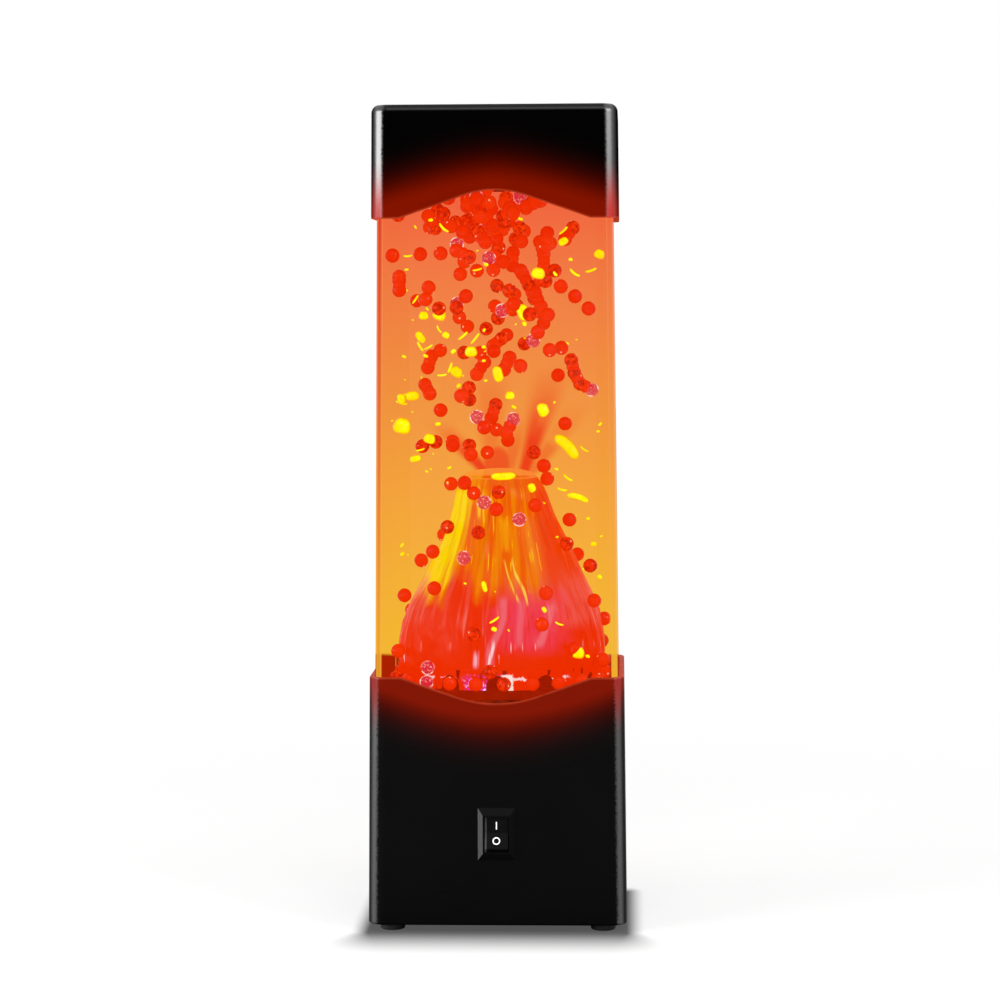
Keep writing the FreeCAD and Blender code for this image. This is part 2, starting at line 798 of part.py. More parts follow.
def make_motor():
    can = rod(0, 0, motor_bottom_z, plate_bottom_z, motor_radius)
    can = can.makeFillet(motor_edge_round, edges_at(can, motor_bottom_z))
    boss = rod(0, 0, plate_bottom_z, plate_bottom_z + motor_boss_height, motor_boss_radius)
    tab = block(-motor_tab_width / 2, motor_tab_width / 2, -motor_tab_thickness / 2,
                motor_tab_thickness / 2, motor_bottom_z - motor_tab_length, motor_bottom_z)
    tabs = [tab.translated(V(side * motor_tab_spacing / 2, 0, 0)) for side in (1, -1)]
    cuts = [rod(0, 0, motor_bottom_z + motor_edge_round, plate_bottom_z + motor_boss_height,
                shaft_radius + shaft_clearance)]
    cuts += [rod(side * motor_screw_spacing / 2, 0, plate_bottom_z - motor_screw_bite, plate_bottom_z,
                 small_screw_radius + screw_gap / 2) for side in (1, -1)]
    return joined([can, boss] + tabs).cut(cuts)


def make_motor_screws():
    seat = shelf_bottom_z - small_head_height - screw_gap
    length = seat - plate_bottom_z + motor_screw_bite - screw_gap
    return group([screw(side * motor_screw_spacing / 2, 0, seat, length, small_screw_radius,
                        small_head_radius, small_head_height, -1) for side in (1, -1)])


def make_motor_shaft():
    return rod(0, 0, motor_bottom_z + motor_edge_round + seat_gap, rotor_top_z - seat_gap, shaft_radius)


def magnet_rotor(z0, z1, radius, bore, pocket_z0, pocket_z1):
    """Disc with a bore and a ring of magnet pockets."""
    disc = rod(0, 0, z0, z1, radius)
    cuts = [rod(0, 0, z0, z1, bore)]
    cuts += [rod(x, y, pocket_z0, pocket_z1, magnet_radius + magnet_gap)
             for x, y in ring_places(magnet_count, magnet_circle)]
    return disc.cut(cuts)


def make_drive_rotor():
    return magnet_rotor(rotor_bottom_z, rotor_top_z, rotor_radius, shaft_radius + magnet_gap / 2,
                        rotor_top_z - magnet_height - magnet_gap, rotor_top_z)


def magnets(z0):
    return group([rod(x, y, z0, z0 + magnet_height, magnet_radius)
                  for x, y in ring_places(magnet_count, magnet_circle)])


def make_led_board():
    board = slab(board_width, board_depth, board_corner, shelf_bottom_z, board_thickness)
    cuts = [rod(0, 0, shelf_bottom_z, board_top_z, rotor_radius + board_hole_gap)]
    cuts += [rod(side * board_pin_x, 0, shelf_bottom_z, board_top_z, board_pin_radius + screw_gap)
             for side in (1, -1)]
    return board.cut(cuts)


def make_leds():
    lights = []
    half = led_size / 2
    case_top_z = board_top_z + led_height
    for x, y in ring_places(led_count, led_circle, math.pi / led_count):
        case = block(x - half, x + half, y - half, y + half, board_top_z, case_top_z)
        lens = rod(x, y, case_top_z, case_top_z + led_lens_height, led_lens_radius)
        lights.append(joined([case, lens]))
    return group(lights)


# Wires inside the base

def wire(points):
    """Round wire along straight runs joined by tangent arcs."""
    corners = [V(*point) for point in points]
    edges = []
    start = corners[0]
    for before, corner, after in zip(corners, corners[1:], corners[2:]):
        into = (corner - before).normalize()
        out = (after - corner).normalize()
        half_turn = into.getAngle(out) / 2
        shorter = min((corner - before).Length, (after - corner).Length)
        radius = min(wire_bend, wire_bend_share * shorter / math.tan(half_turn))
        back = radius * math.tan(half_turn)
        first, last = corner - into * back, corner + out * back
        inward = (out - into).normalize()
        centre = corner + inward * (radius / math.cos(half_turn))
        edges.append(Part.LineSegment(start, first).toShape())
        edges.append(Part.Arc(first, centre - inward * radius, last).toShape())
        start = last
    edges.append(Part.LineSegment(start, corners[-1]).toShape())
    along = (corners[1] - corners[0]).normalize()
    section = Part.Wire(Part.makeCircle(wire_radius, corners[0], along))
    return Part.Wire(edges).makePipeShell([section], True, False)


def make_supply_wires():
    """Battery to switch, switch to light board, battery to inlet and inlet to light board."""
    tab_x = box_inner_x / 2 + box_wall + contact_tab_length
    tab_y = (cell_count - 1) / 2 * (2 * cell_radius + cell_gap)
    over_box = box_ceiling_z + box_wall + wire_stub
    blade = [on_front(Part.Vertex(0, switch_body_depth + terminal_length, side * terminal_spacing / 2),
                      switch_z).Point for side in (-1, 1)]
    tab = [on_back(Part.Vertex(0, -inlet_body_length - inlet_tab_length, side * inlet_tab_spacing / 2),
                   inlet_z).Point for side in (-1, 1)]
    beside_x = tab_x + wire_side_room
    to_switch = [(tab_x, tab_y, cell_z), (beside_x, tab_y, cell_z), (beside_x, tab_y, over_box),
                 (wire_stub, blade[0].y + 3 * wire_stub, over_box + wire_stub),
                 (0, blade[0].y + 2 * wire_stub, blade[0].z), tuple(blade[0])]
    to_inlet = [(-tab_x, -tab_y, cell_z), (-beside_x, -tab_y, cell_z), (-beside_x, -tab_y, over_box),
                (-wire_stub, tab[0].y - 3 * wire_stub, over_box + wire_stub),
                (0, tab[0].y - 2 * wire_stub, tab[0].z), tuple(tab[0])]
    from_switch = [tuple(blade[1]), (0, blade[1].y + wire_stub, blade[1].z),
                   (wire_spacing / 2, -wire_hole_y + wire_stub, motor_bottom_z - 2 * wire_stub),
                   (wire_spacing / 2, -wire_hole_y, motor_bottom_z),
                   (wire_spacing / 2, -wire_hole_y, shelf_bottom_z)]
    from_inlet = [tuple(tab[1]), (0, tab[1].y - wire_stub, tab[1].z),
                  (-wire_spacing / 2, wire_hole_y - wire_stub, motor_bottom_z - 3 * wire_stub),
                  (-wire_spacing / 2, wire_hole_y, motor_bottom_z),
                  (-wire_spacing / 2, wire_hole_y, shelf_bottom_z)]
    return group([wire(route) for route in (to_switch, to_inlet, from_switch, from_inlet)])


def make_motor_wires():
    """From the motor's two tabs up to the light board."""
    wires = []
    for side in (-1, 1):
        x = side * motor_tab_spacing / 2
        low = motor_bottom_z - motor_tab_length
        wires.append(wire([(x, 0, low), (x, 0, low - wire_stub),
                           (x, side * 2 * wire_stub, low - wire_stub - wire_radius),
                           (side * wire_spacing / 2, side * (wire_hole_y - wire_stub / 2), low),
                           (side * wire_spacing / 2, side * wire_hole_y, low + 2 * wire_stub),
                           (side * wire_spacing / 2, side * wire_hole_y, shelf_bottom_z)]))
    return group(wires)


# Tank and what is fixed in it

def make_tank_gasket():
    half_x, half_y = half_size(tank_bottom_z, tank_inset)
    outer = slab(2 * half_x, 2 * half_y, max(corner_radius - tank_inset, least_corner), shelf_top_z,
                 gasket_thickness)
    inner = slab(2 * (half_x - gasket_width), 2 * (half_y - gasket_width), least_corner,
                 shelf_top_z, gasket_thickness)
    return outer.cut(inner)


def make_water_tank():
    outer = drafted(tank_bottom_z, tank_top_z, tank_inset)
    inner = drafted(tank_bottom_z, tank_top_z - tank_roof, tank_inner_inset)
    neck = rod(0, 0, tank_top_z, neck_top_z, neck_bore_radius + neck_wall)
    bore = rod(0, 0, tank_top_z - tank_roof, neck_top_z, neck_bore_radius)
    return joined([outer, neck]).cut([inner, bore])


def make_tank_floor():
    plate = drafted(tank_bottom_z, floor_top_z, tank_inner_inset + glue_gap)
    boss = rod(0, 0, floor_top_z, floor_top_z + floor_boss_height, floor_boss_radius)
    socket = rod(0, 0, floor_top_z - axle_embed, floor_top_z + floor_boss_height,
                 axle_radius + magnet_gap / 2)
    return joined([plate, boss]).cut(socket)


impeller_bottom_z = floor_top_z + floor_boss_height + impeller_gap
impeller_top_z = impeller_bottom_z + hub_height
retainer_z = impeller_top_z + impeller_gap
axle_top_z = retainer_z + retainer_height + axle_rise


def make_impeller_axle():
    return rod(0, 0, floor_top_z - axle_embed + glue_gap, axle_top_z, axle_radius)


def make_axle_retainer():
    ring = rod(0, 0, retainer_z, retainer_z + retainer_height, retainer_radius)
    return ring.cut(rod(0, 0, retainer_z, retainer_z + retainer_height, axle_radius + magnet_gap / 2))


def make_impeller():
    disc_top = impeller_bottom_z + impeller_disc_height
    disc = rod(0, 0, impeller_bottom_z, disc_top, impeller_disc_radius)
    hub = rod(0, 0, impeller_bottom_z, impeller_top_z, hub_radius)
    limit = rod(0, 0, disc_top - magnet_gap, impeller_top_z, blade_radius)
    blades = []
    for i in range(blade_count):
        blade = block(hub_radius - blade_thickness, blade_radius + blade_thickness, -blade_thickness / 2,
                      blade_thickness / 2, -blade_chord / 2 - blade_thickness, blade_chord / 2)
        blade.rotate(V(0, 0, 0), V(1, 0, 0), blade_pitch)
        blade.translate(V(0, 0, (disc_top + impeller_top_z) / 2))
        blade.rotate(V(0, 0, 0), V(0, 0, 1), 360 * i / blade_count)
        blades.append(blade.common(limit))
    body = joined([disc, hub] + blades)
    cuts = [rod(0, 0, impeller_bottom_z, impeller_top_z, axle_radius + shaft_clearance)]
    cuts += [rod(x, y, impeller_bottom_z, impeller_bottom_z + magnet_height + magnet_gap,
                 magnet_radius + magnet_gap) for x, y in ring_places(magnet_count, magnet_circle)]
    return body.cut(cuts)


def make_pump_deck():
    plate = drafted(deck_z, deck_top_z, tank_inner_inset + deck_gap)
    leg_x, leg_y = half_size(deck_z, tank_inner_inset + deck_leg_inset)
    legs = [rod(x, y, floor_top_z, deck_z, deck_leg_radius) for x, y in four(leg_x, leg_y)]
    cuts = [rod(0, 0, deck_z, deck_top_z, deck_bore_radius)]
    for i in range(slot_count):
        slot = block(slot_inner_radius, slot_outer_radius, -slot_width / 2, slot_width / 2,
                     deck_z, deck_top_z)
        slot.rotate(V(0, 0, 0), V(0, 0, 1), 360 * i / slot_count)
        cuts.append(slot)
    return joined([plate] + legs).cut(cuts)


def make_jet_nozzle():
    foot_r = deck_bore_radius
    top_z = deck_top_z + nozzle_height
    profile = [V(foot_r, 0, deck_top_z), V(foot_r + nozzle_wall + nozzle_flange_width, 0, deck_top_z),
               V(foot_r + nozzle_wall + nozzle_flange_width, 0, deck_top_z + nozzle_flange_height),
               V(foot_r + nozzle_wall, 0, deck_top_z + nozzle_flange_height),
               V(nozzle_top_radius + nozzle_wall, 0, top_z), V(nozzle_top_radius, 0, top_z)]
    return Part.Face(Part.makePolygon(profile + profile[:1])).revolve(V(0, 0, 0), V(0, 0, 1), 360)


def volcano_foot_half():
    """Half width and half depth of the volcano's foot, from the tank's inner walls."""
    half_x, half_y = half_size(cone_bottom_z, tank_inner_inset)
    return half_x - volcano_side_room, half_y - volcano_front_room


def cone_sections():
    """Height above the foot ring, half width and half depth of each level of the cone."""
    half_x, half_y = volcano_foot_half()
    return [(height, half_x - in_x, half_y - in_y) for height, in_x, in_y in volcano_sections]


def oval_wire(z, half_x, half_y, ridge=0.0):
    """Closed smooth curve round the axis; ridge is how far its lava ribs stand out."""
    count = ridge_count * ridge_points if ridge else oval_points
    points = []
    for i in range(count):
        angle = 2 * math.pi * i / count
        swell = ridge * (math.cos(ridge_count * angle) - 1) / 2
        points.append(V((half_x + swell) * math.cos(angle), (half_y + swell) * math.sin(angle), z))
    curve = Part.BSplineCurve()
    curve.interpolate(Points=points, PeriodicFlag=True)
    return Part.Wire(curve.toShape())


def cone_loft(extra, ridge=0.0):
    """The cone's outer form grown by extra all round, with or without lava ribs."""
    return Part.makeLoft([oval_wire(cone_bottom_z + height, half_x + extra, half_y + extra, ridge)
                          for height, half_x, half_y in cone_sections()], True)


def make_volcano_cone():
    return cone_loft(0, ridge_height).cut(cone_loft(-volcano_wall - ridge_height))


def oval_wall(z0, z1, half_x, half_y, wall):
    """Upright oval ring."""
    outer, inner = [Part.Face(oval_wire(z0, half_x - inset, half_y - inset)).extrude(V(0, 0, z1 - z0))
                    for inset in (0, wall)]
    return outer.cut(inner)


def make_volcano_foot():
    """Ring under the cone, with an arch for beads to pass at each lava tongue."""
    half_x, half_y = volcano_foot_half()
    ring = oval_wall(deck_top_z, cone_bottom_z, half_x, half_y, foot_ring_wall)
    arches = []
    start = half_y - 2 * foot_ring_wall
    end = half_x + foot_ring_wall
    half = arch_width / 2
    spring = deck_top_z + arch_height - half
    for i in range(arch_count):
        gate = block(start, end, -half, half, deck_top_z, spring)
        head = Part.makeCylinder(half, end - start, V(start, 0, spring), V(1, 0, 0))
        arch = gate.fuse(head)
        arch.rotate(V(0, 0, 0), V(0, 0, 1), 180 * (2 * i + 1) / arch_count)
        arches.append(arch)
    return ring.cut(arches)


def make_backing_film():
    """Frosted sheet that lies on the inner face of the tank's back wall."""
    z0, z1 = base_rim_z, water_level_z - film_margin
    outer = drafted(z0, z1, tank_inner_inset + glue_gap)
    inner = drafted(z0, z1, tank_inner_inset + glue_gap + film_thickness)
    half_x = half_size(z1, tank_inner_inset + film_margin)[0]
    window = block(-half_x, half_x, 0, bottom_depth, z0, z1)
    return outer.cut(inner).common(window)


# Cap and plug

def make_filler_plug():
    """Push-in bung whose finger grip stands under the cap's roof."""
    seat = neck_top_z + seat_gap
    stem = rod(0, 0, seat - plug_stem_length, seat, neck_bore_radius - plug_clearance)
    head = rod(0, 0, seat, seat + plug_head_height, neck_bore_radius + neck_wall + plug_head_overhang)
    head = head.makeFillet(plug_round, edges_at(head, seat + plug_head_height))
    grip = block(-plug_grip_width / 2, plug_grip_width / 2, -plug_grip_thickness / 2,
                 plug_grip_thickness / 2, seat, seat + plug_head_height + plug_grip_height)
    return joined([stem, head, grip])


def make_top_cap():
    outer = drafted(cap_rim_z, lamp_height, 0)
    outer = outer.makeFillet(cap_edge_round, edges_at(outer, lamp_height))
    inner = drafted(cap_rim_z, cap_ceiling_z, shell_wall)
    cap = outer.cut([inner, wave_prism(cap_rim_z, cap_wave_rise, 1)])
    cap = cap.makeFillet(rim_round, rim_edges(cap, cap_rim_z, cap_wave_rise, 1))
    half_x, half_y = half_size(cap_ceiling_z, cap_post_inset)
    posts = [rod(x, y, tank_top_z + seat_gap, cap_ceiling_z, cap_post_radius)
             for x, y in four(half_x, half_y)]
    return joined([cap] + posts)


# Beads and flecks

def halton(index, base):
    """Evenly spread number between 0 and 1 for a whole number."""
    value, share = 0.0, 1.0 / base
    while index:
        value += share * (index % base)
        index //= base
        share /= base
    return value


def volcano_half(z):
    """Half width and half depth of the volcano at a height."""
    sections = cone_sections()
    height = min(max(z - cone_bottom_z, 0.0), sections[-1][0])
    for low, high in zip(sections, sections[1:]):
        if height <= high[0]:
            share = (height - low[0]) / (high[0] - low[0])
            return (low[1] + share * (high[1] - low[1]), low[2] + share * (high[2] - low[2]))


def outside_cone(x, y, z, room):
    """Oval distance test: true where a ball of that room clears the cone."""
    if z - room > volcano_top_z:
        return True
    half_x, half_y = volcano_half(z - room)
    return (x / (half_x + room)) ** 2 + (y / (half_y + room)) ** 2 > 1.0


def bead_chance(x, z):
    """Chance out of 100 of a bead there, from the crowds below the cap."""
    chance = 0.0
    for (cx, below, half_x, half_z), percent in zip(bead_crowds, crowd_percents):
        reach = ((x - cx) / half_x) ** 2 + ((z - cap_rim_z + below) / half_z) ** 2
        chance += percent * math.exp(-reach * reach)
    return chance


def place(index, room):
    """Evenly spread place in the water for a ball that needs that room."""
    z = deck_top_z + room + (water_level_z - deck_top_z - 2 * room) * halton(index, 2)
    half_x, half_y = half_size(z, tank_inner_inset + room)
    depth = 2 * half_y - film_thickness - glue_gap
    return half_x * (2 * halton(index, 3) - 1), depth * halton(index, 5) - half_y, z


def fits(x, y, z, radius, taken):
    """True where a ball clears the walls, the water's surface, the cone and the other balls."""
    room = radius + bead_space
    half_x, half_y = half_size(z, tank_inner_inset + room)
    within = (abs(x) <= half_x and -half_y <= y <= half_y - film_thickness - glue_gap
              and deck_top_z + room <= z <= water_level_z - room)
    return within and outside_cone(x, y, z, room) and all(
        math.dist((x, y, z), other[:3]) >= room + other[3] for other in taken)


def on_cone(share, height):
    """Place of a bead that touches the volcano at a height, a share of a turn round it."""
    room = bead_radius + bead_space
    half_x, half_y = volcano_half(height - room)
    reach = 1 + rim_tolerance / half_y
    angle = 2 * math.pi * share
    return reach * (half_x + room) * math.cos(angle), reach * (half_y + room) * math.sin(angle), height


def bead_places():
    """A row round the foot, beads that roll down the cone, and short bending strings above it."""
    kept = []
    room = bead_radius + bead_space
    low = deck_top_z + room
    rows = [on_cone(halton(i, 5), low + rim_tolerance) for i in range(foot_bead_count)]
    for i in range(slope_bead_count):
        rise = (volcano_top_z - low) * halton(i + first_bead_index, 2) ** 1.5
        rows.append(on_cone(halton(i + first_bead_index, 3), low + rise))
    for row in rows:
        if fits(*row, bead_radius, kept):
            kept.append((*row, bead_radius))
    step = bead_radius + room + rim_tolerance
    for index in range(first_bead_index, first_bead_index + bead_tries):
        x, y, z = place(index, room)
        if bead_chance(x, z) < 100 * halton(index, 7):
            continue
        heading = 2 * math.pi * halton(index, 13)
        for link in range(1 + int(string_beads * halton(index, 17))):
            if not fits(x, y, z, bead_radius, kept):
                break
            kept.append((x, y, z, bead_radius))
            x += step * math.cos(heading)
            z += step * math.sin(heading)
            heading += math.radians(string_bend_degrees) * (2 * halton(index + link, 19) - 1)
    return kept


def fleck_places(taken):
    """Single flecks of many sizes, small ones more often."""
    kept = []
    for index in range(first_fleck_index, first_fleck_index + fleck_tries):
        spread = fleck_most_radius - fleck_least_radius
        radius = fleck_least_radius + spread * halton(index, 11) ** 2
        x, y, z = place(index, radius + bead_space)
        if len(kept) < fleck_count and fits(x, y, z, radius, taken + kept):
            kept.append((x, y, z, radius))
    return kept


beads = bead_places()
flecks = fleck_places(beads)


def balls(places, extra=0.0):
    return [Part.makeSphere(radius + extra, V(x, y, z)) for x, y, z, radius in places]


def make_tank_water(deck, nozzle, foot_ring, film):
    """Water with a hollow for each thing in it; the one round the impeller is swept."""
    body = drafted(floor_top_z + water_film, water_level_z, tank_inner_inset + water_film)
    cone = cone_loft(water_film).cut(cone_loft(-volcano_wall - ridge_height - water_film))
    wet = [deck, nozzle, foot_ring, film, cone,
           rod(0, 0, floor_top_z, retainer_z, impeller_disc_radius + 2 * impeller_gap),
           rod(0, 0, floor_top_z, axle_top_z + impeller_gap, retainer_radius + water_film)]
    body = body.cut(wet)
    shells = list(body.Solids[0].Shells)
    for ball in balls(beads + flecks, water_film):
        hollow = ball.Solids[0].Shells[0].copy()
        hollow.reverse()
        shells.append(hollow)
    return Part.makeSolid(Part.makeCompound(shells))


parts = {
    "base_shell": make_base_shell(),
    "bottom_cover": make_bottom_cover(),
    "feet": make_feet(),
    "cover_screws": make_cover_screws(),
    "battery_box": make_battery_box(),
    "battery_box_screws": make_battery_box_screws(),
    "battery_cells": make_battery_cells(),
    "battery_contacts": make_battery_contacts(),
    "battery_door": make_battery_door(),
    "switch_housing": make_switch_housing(),
    "switch_rocker": make_switch_rocker(),
    "rocker_marks": make_rocker_marks(),
    "switch_terminals": make_switch_terminals(),
    "dc_inlet": make_dc_inlet(),
    "dc_inlet_pin": make_dc_inlet_pin(),
    "dc_inlet_nut": make_dc_inlet_nut(),
    "supply_wires": make_supply_wires(),
    "motor_wires": make_motor_wires(),
    "drive_plate": make_drive_plate(),
    "drive_plate_screws": make_drive_plate_screws(),
    "motor": make_motor(),
    "motor_screws": make_motor_screws(),
    "motor_shaft": make_motor_shaft(),
    "drive_rotor": make_drive_rotor(),
    "drive_magnets": magnets(rotor_top_z - magnet_height),
    "led_board": make_led_board(),
    "leds": make_leds(),
    "tank_gasket": make_tank_gasket(),
    "water_tank": make_water_tank(),
    "tank_floor": make_tank_floor(),
    "impeller_axle": make_impeller_axle(),
    "impeller": make_impeller(),
    "impeller_magnets": magnets(impeller_bottom_z),
    "axle_retainer": make_axle_retainer(),
    "pump_deck": make_pump_deck(),
    "jet_nozzle": make_jet_nozzle(),
    "volcano_foot": make_volcano_foot(),
    "volcano_cone": make_volcano_cone(),
    "backing_film": make_backing_film(),
    "lava_beads": group(balls(beads)),
    "lava_flecks": group(balls(flecks)),
    "filler_plug": make_filler_plug(),
    "top_cap": make_top_cap(),
}
parts["tank_water"] = make_tank_water(parts["pump_deck"], parts["jet_nozzle"],
                                      parts["volcano_foot"], parts["backing_film"])

for name, shape in parts.items():
    shape.exportStep("parts/" + name + ".step")
    print(name, "solids", len(shape.Solids), "volume", round(shape.Volume, 1), "valid", shape.isValid())
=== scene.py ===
# %% [markdown]
# # A motion lamp, dressed around its frame
#
# The object is a tall box of clear plastic between a black base and a black cap. Water fills
# the box, a moulded volcano stands in it, and a hidden impeller stirs red beads and yellow
# flecks up through it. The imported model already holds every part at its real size. This
# script gives each part its finish, makes the volcano, the beads, the flecks and the water
# anew as finer surfaces, and sets a plain studio round them.

# %% Load the frame
import math

import bpy
import numpy as np
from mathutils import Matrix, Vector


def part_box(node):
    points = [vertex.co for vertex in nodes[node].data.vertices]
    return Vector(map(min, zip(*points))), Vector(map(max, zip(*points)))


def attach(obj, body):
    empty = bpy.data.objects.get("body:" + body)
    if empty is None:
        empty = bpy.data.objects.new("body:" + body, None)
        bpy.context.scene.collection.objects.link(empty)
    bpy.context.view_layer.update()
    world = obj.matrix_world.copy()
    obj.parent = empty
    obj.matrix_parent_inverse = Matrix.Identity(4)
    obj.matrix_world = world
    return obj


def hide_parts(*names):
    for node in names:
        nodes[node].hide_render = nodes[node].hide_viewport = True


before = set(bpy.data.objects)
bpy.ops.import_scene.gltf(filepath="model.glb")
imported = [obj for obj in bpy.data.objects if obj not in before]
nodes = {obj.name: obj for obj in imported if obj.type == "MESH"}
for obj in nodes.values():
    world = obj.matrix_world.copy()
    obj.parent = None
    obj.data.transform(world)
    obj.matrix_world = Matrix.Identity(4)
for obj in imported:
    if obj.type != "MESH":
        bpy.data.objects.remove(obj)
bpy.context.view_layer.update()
scene = bpy.context.scene
scene.view_settings.view_transform = "Standard"

# %% [markdown]
# ## Levels that everything shares
#
# Rims, water level and walls are read from the parts' own boxes, so the new pieces keep to
# the parts even when a size changes. Only the lean of the walls and the shape of the wave in
# the two rims can't be read from a box, so their numbers are named here.

# %% Read levels from the parts
mm = 0.001
base_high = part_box("base_shell")[1]
deck_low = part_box("pump_deck")[0]
tank_low, tank_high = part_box("water_tank")
film_low, film_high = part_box("backing_film")
water_low, water_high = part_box("tank_water")
cone_low, cone_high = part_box("volcano_cone")
foot_low, foot_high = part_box("volcano_foot")

base_rim, cap_rim = base_high.z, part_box("top_cap")[0].z
draft = math.tan(math.radians(0.54))
wave_half_span = 38 * mm
wave_slope = math.tan(math.radians(19.2))
base_wave_depth, cap_wave_rise = 10.3 * mm, 11 * mm
print(f"rims at {base_rim / mm:.1f} and {cap_rim / mm:.1f}, water to {water_high.z / mm:.1f} mm")

# %% [markdown]
# ## Camera
#
# The picture is a straight product shot from a little above the middle, with a long lens
# that keeps the sides nearly parallel. The camera stands 1.24 m away and a touch to the
# right, leans down a few degrees and rolls a quarter of a degree. A lens is set in
# millimetres on a 36 mm sensor, so its length is the focal distance in pixels times
# 36 over the picture's 1000 pixels.

# %% Place the camera
camera_distance, camera_height = 1.243, 0.2518
camera_azimuth, camera_turn = math.radians(2.4), math.radians(-0.025)
camera_pitch, camera_roll = math.radians(3.728), math.radians(0.254)
focal_pixels, picture_pixels, sensor_width = 3034.6, 1000, 36

camera_data = bpy.data.cameras.new("camera")
camera_data.lens = focal_pixels * sensor_width / picture_pixels
camera_data.sensor_width = sensor_width
camera_data.dof.use_dof = False
camera = bpy.data.objects.new("camera", camera_data)
scene.collection.objects.link(camera)
camera.location = (math.sin(camera_azimuth) * camera_distance,
                   -math.cos(camera_azimuth) * camera_distance, camera_height)
camera.rotation_euler = (math.pi / 2 - camera_pitch, camera_roll, camera_azimuth + camera_turn)
scene.camera = camera
print(f"camera lens {camera_data.lens:.1f} mm")

# %% [markdown]
# ## Writing shaders as sums
#
# A material in Blender is a graph of nodes, and a graph is tedious to write link by link.
# The class below wraps one output of a node. Adding, subtracting or multiplying two of them
# adds the Math node that does it, and `add` makes any other node from its type, its settings
# and what goes into its sockets. A formula for a pattern then reads as a formula. Colours
# are written from 0 to 255, as on a screen, and turned into the linear light of shaders.

# %% A colour, and a socket that takes part in sums
def colour(*tone):
    """Linear RGBA of a screen colour: c/12.92 below 0.04045, else ((c + 0.055)/1.055)^2.4."""
    channels = np.array(tone) / 255
    linear = np.where(channels < 0.04045, channels / 12.92, ((channels + 0.055) / 1.055) ** 2.4)
    return (*linear.tolist(), 1.0)


class Wire:
    """One output of a shader node, or just the tree when no node exists yet."""

    def __init__(self, tree, socket=None):
        self.tree = tree
        self.socket = socket

    def add(self, kind, settings=None, links=None, out=0):
        """Makes a node: settings are set first, then each input gets its value or its link."""
        node = self.tree.nodes.new(kind)
        for name, value in (settings or {}).items():
            if name == "stops":
                while len(node.color_ramp.elements) < len(value):
                    node.color_ramp.elements.new(1.0)
                for element, (place, tone) in zip(node.color_ramp.elements, value):
                    element.position = place
                    element.color = tone
            else:
                setattr(node, name, value)
        for name, value in (links or {}).items():
            if isinstance(value, Wire):
                self.tree.links.new(value.socket, node.inputs[name])
            else:
                node.inputs[name].default_value = value
        return Wire(self.tree, node.outputs[out])

    def maths(self, operation, *values):
        """A Math node of that operation."""
        return self.add("ShaderNodeMath", {"operation": operation}, dict(enumerate(values)))

    def __add__(self, other):
        return self.maths("ADD", self, other)

    def __radd__(self, other):
        return self.maths("ADD", other, self)

    def __sub__(self, other):
        return self.maths("SUBTRACT", self, other)

    def __rsub__(self, other):
        return self.maths("SUBTRACT", other, self)

    def __mul__(self, other):
        return self.maths("MULTIPLY", self, other)

    def __rmul__(self, other):
        return self.maths("MULTIPLY", other, self)

    def __truediv__(self, other):
        return self.maths("DIVIDE", self, other)

    def __pow__(self, other):
        return self.maths("POWER", self, other)

    def __abs__(self):
        return self.maths("ABSOLUTE", self)

    def least(self, other):
        """The smaller of the two."""
        return self.maths("MINIMUM", self, other)

    def most(self, other):
        """The larger of the two."""
        return self.maths("MAXIMUM", self, other)

    def step(self, low, high):
        """0 at low, 1 at high and a smooth S between them; low may be above high."""
        flip = low > high
        links = {0: self, 1: min(low, high), 2: max(low, high), 3: float(flip), 4: float(not flip)}
        return self.add("ShaderNodeMapRange", {"interpolation_type": "SMOOTHSTEP"}, links)

    def band(self, outer, inner):
        """1 where the size is under inner and 0 where it is over outer."""
        return abs(self).step(outer, inner)

    def blend(self, low, high):
        """Mixes two colours, with this wire as the factor."""
        return self.add("ShaderNodeMix", {"data_type": "RGBA"}, {0: self, 6: low, 7: high}, 2)

    def over(self, below, *tone):
        """Lays a screen colour over the colour below it, by this wire's share."""
        return self.blend(below, colour(*tone))

    def noise(self, size, detail=2.0, rough=0.5):
        """Cloudy noise at this place, from 0 to 1, whose blobs are about that size in metres."""
        return self.add("ShaderNodeTexNoise", links={
            "Vector": self, "Scale": 1 / size, "Detail": detail, "Roughness": rough})

    def bump(self, depth):
        """A normal tilted by this height from 0 to 1, which stands for that depth in metres."""
        return self.add("ShaderNodeBump", links={
            "Height": self, "Distance": depth, "Strength": 1.0})

    def carried(self, name):
        """A value that the mesh carries on its points."""
        return self.add("ShaderNodeAttribute", {"attribute_name": name}, out="Fac")

    def edge_on(self, low=0.62, high=0.88):
        """0 where a surface is seen face on and 1 where it is seen edge on."""
        facing = self.add("ShaderNodeLayerWeight", links={"Blend": 0.5}, out="Facing")
        return facing.step(low, high)

    def finish(self, base, rough, shine=0.5, glow=None, **inputs):
        """A Principled shader with a screen colour or a wire as its base, that may give light
        of its own. Further names are the sockets' own, with _ for each space."""
        inputs.update(Base_Color=base if isinstance(base, Wire) else colour(*base),
                      Roughness=rough, Specular_IOR_Level=shine)
        if glow is not None:
            inputs = {"Emission_Strength": 1.0, "Emission_Color": glow, **inputs}
        return self.add("ShaderNodeBsdfPrincipled", links={
            name.replace("_", " "): value for name, value in inputs.items()})

# %% [markdown]
# A material's patterns read Object coordinates, which are metres in the lamp's own frame, so
# a pattern keeps its real size and stays put on its part when the part moves.

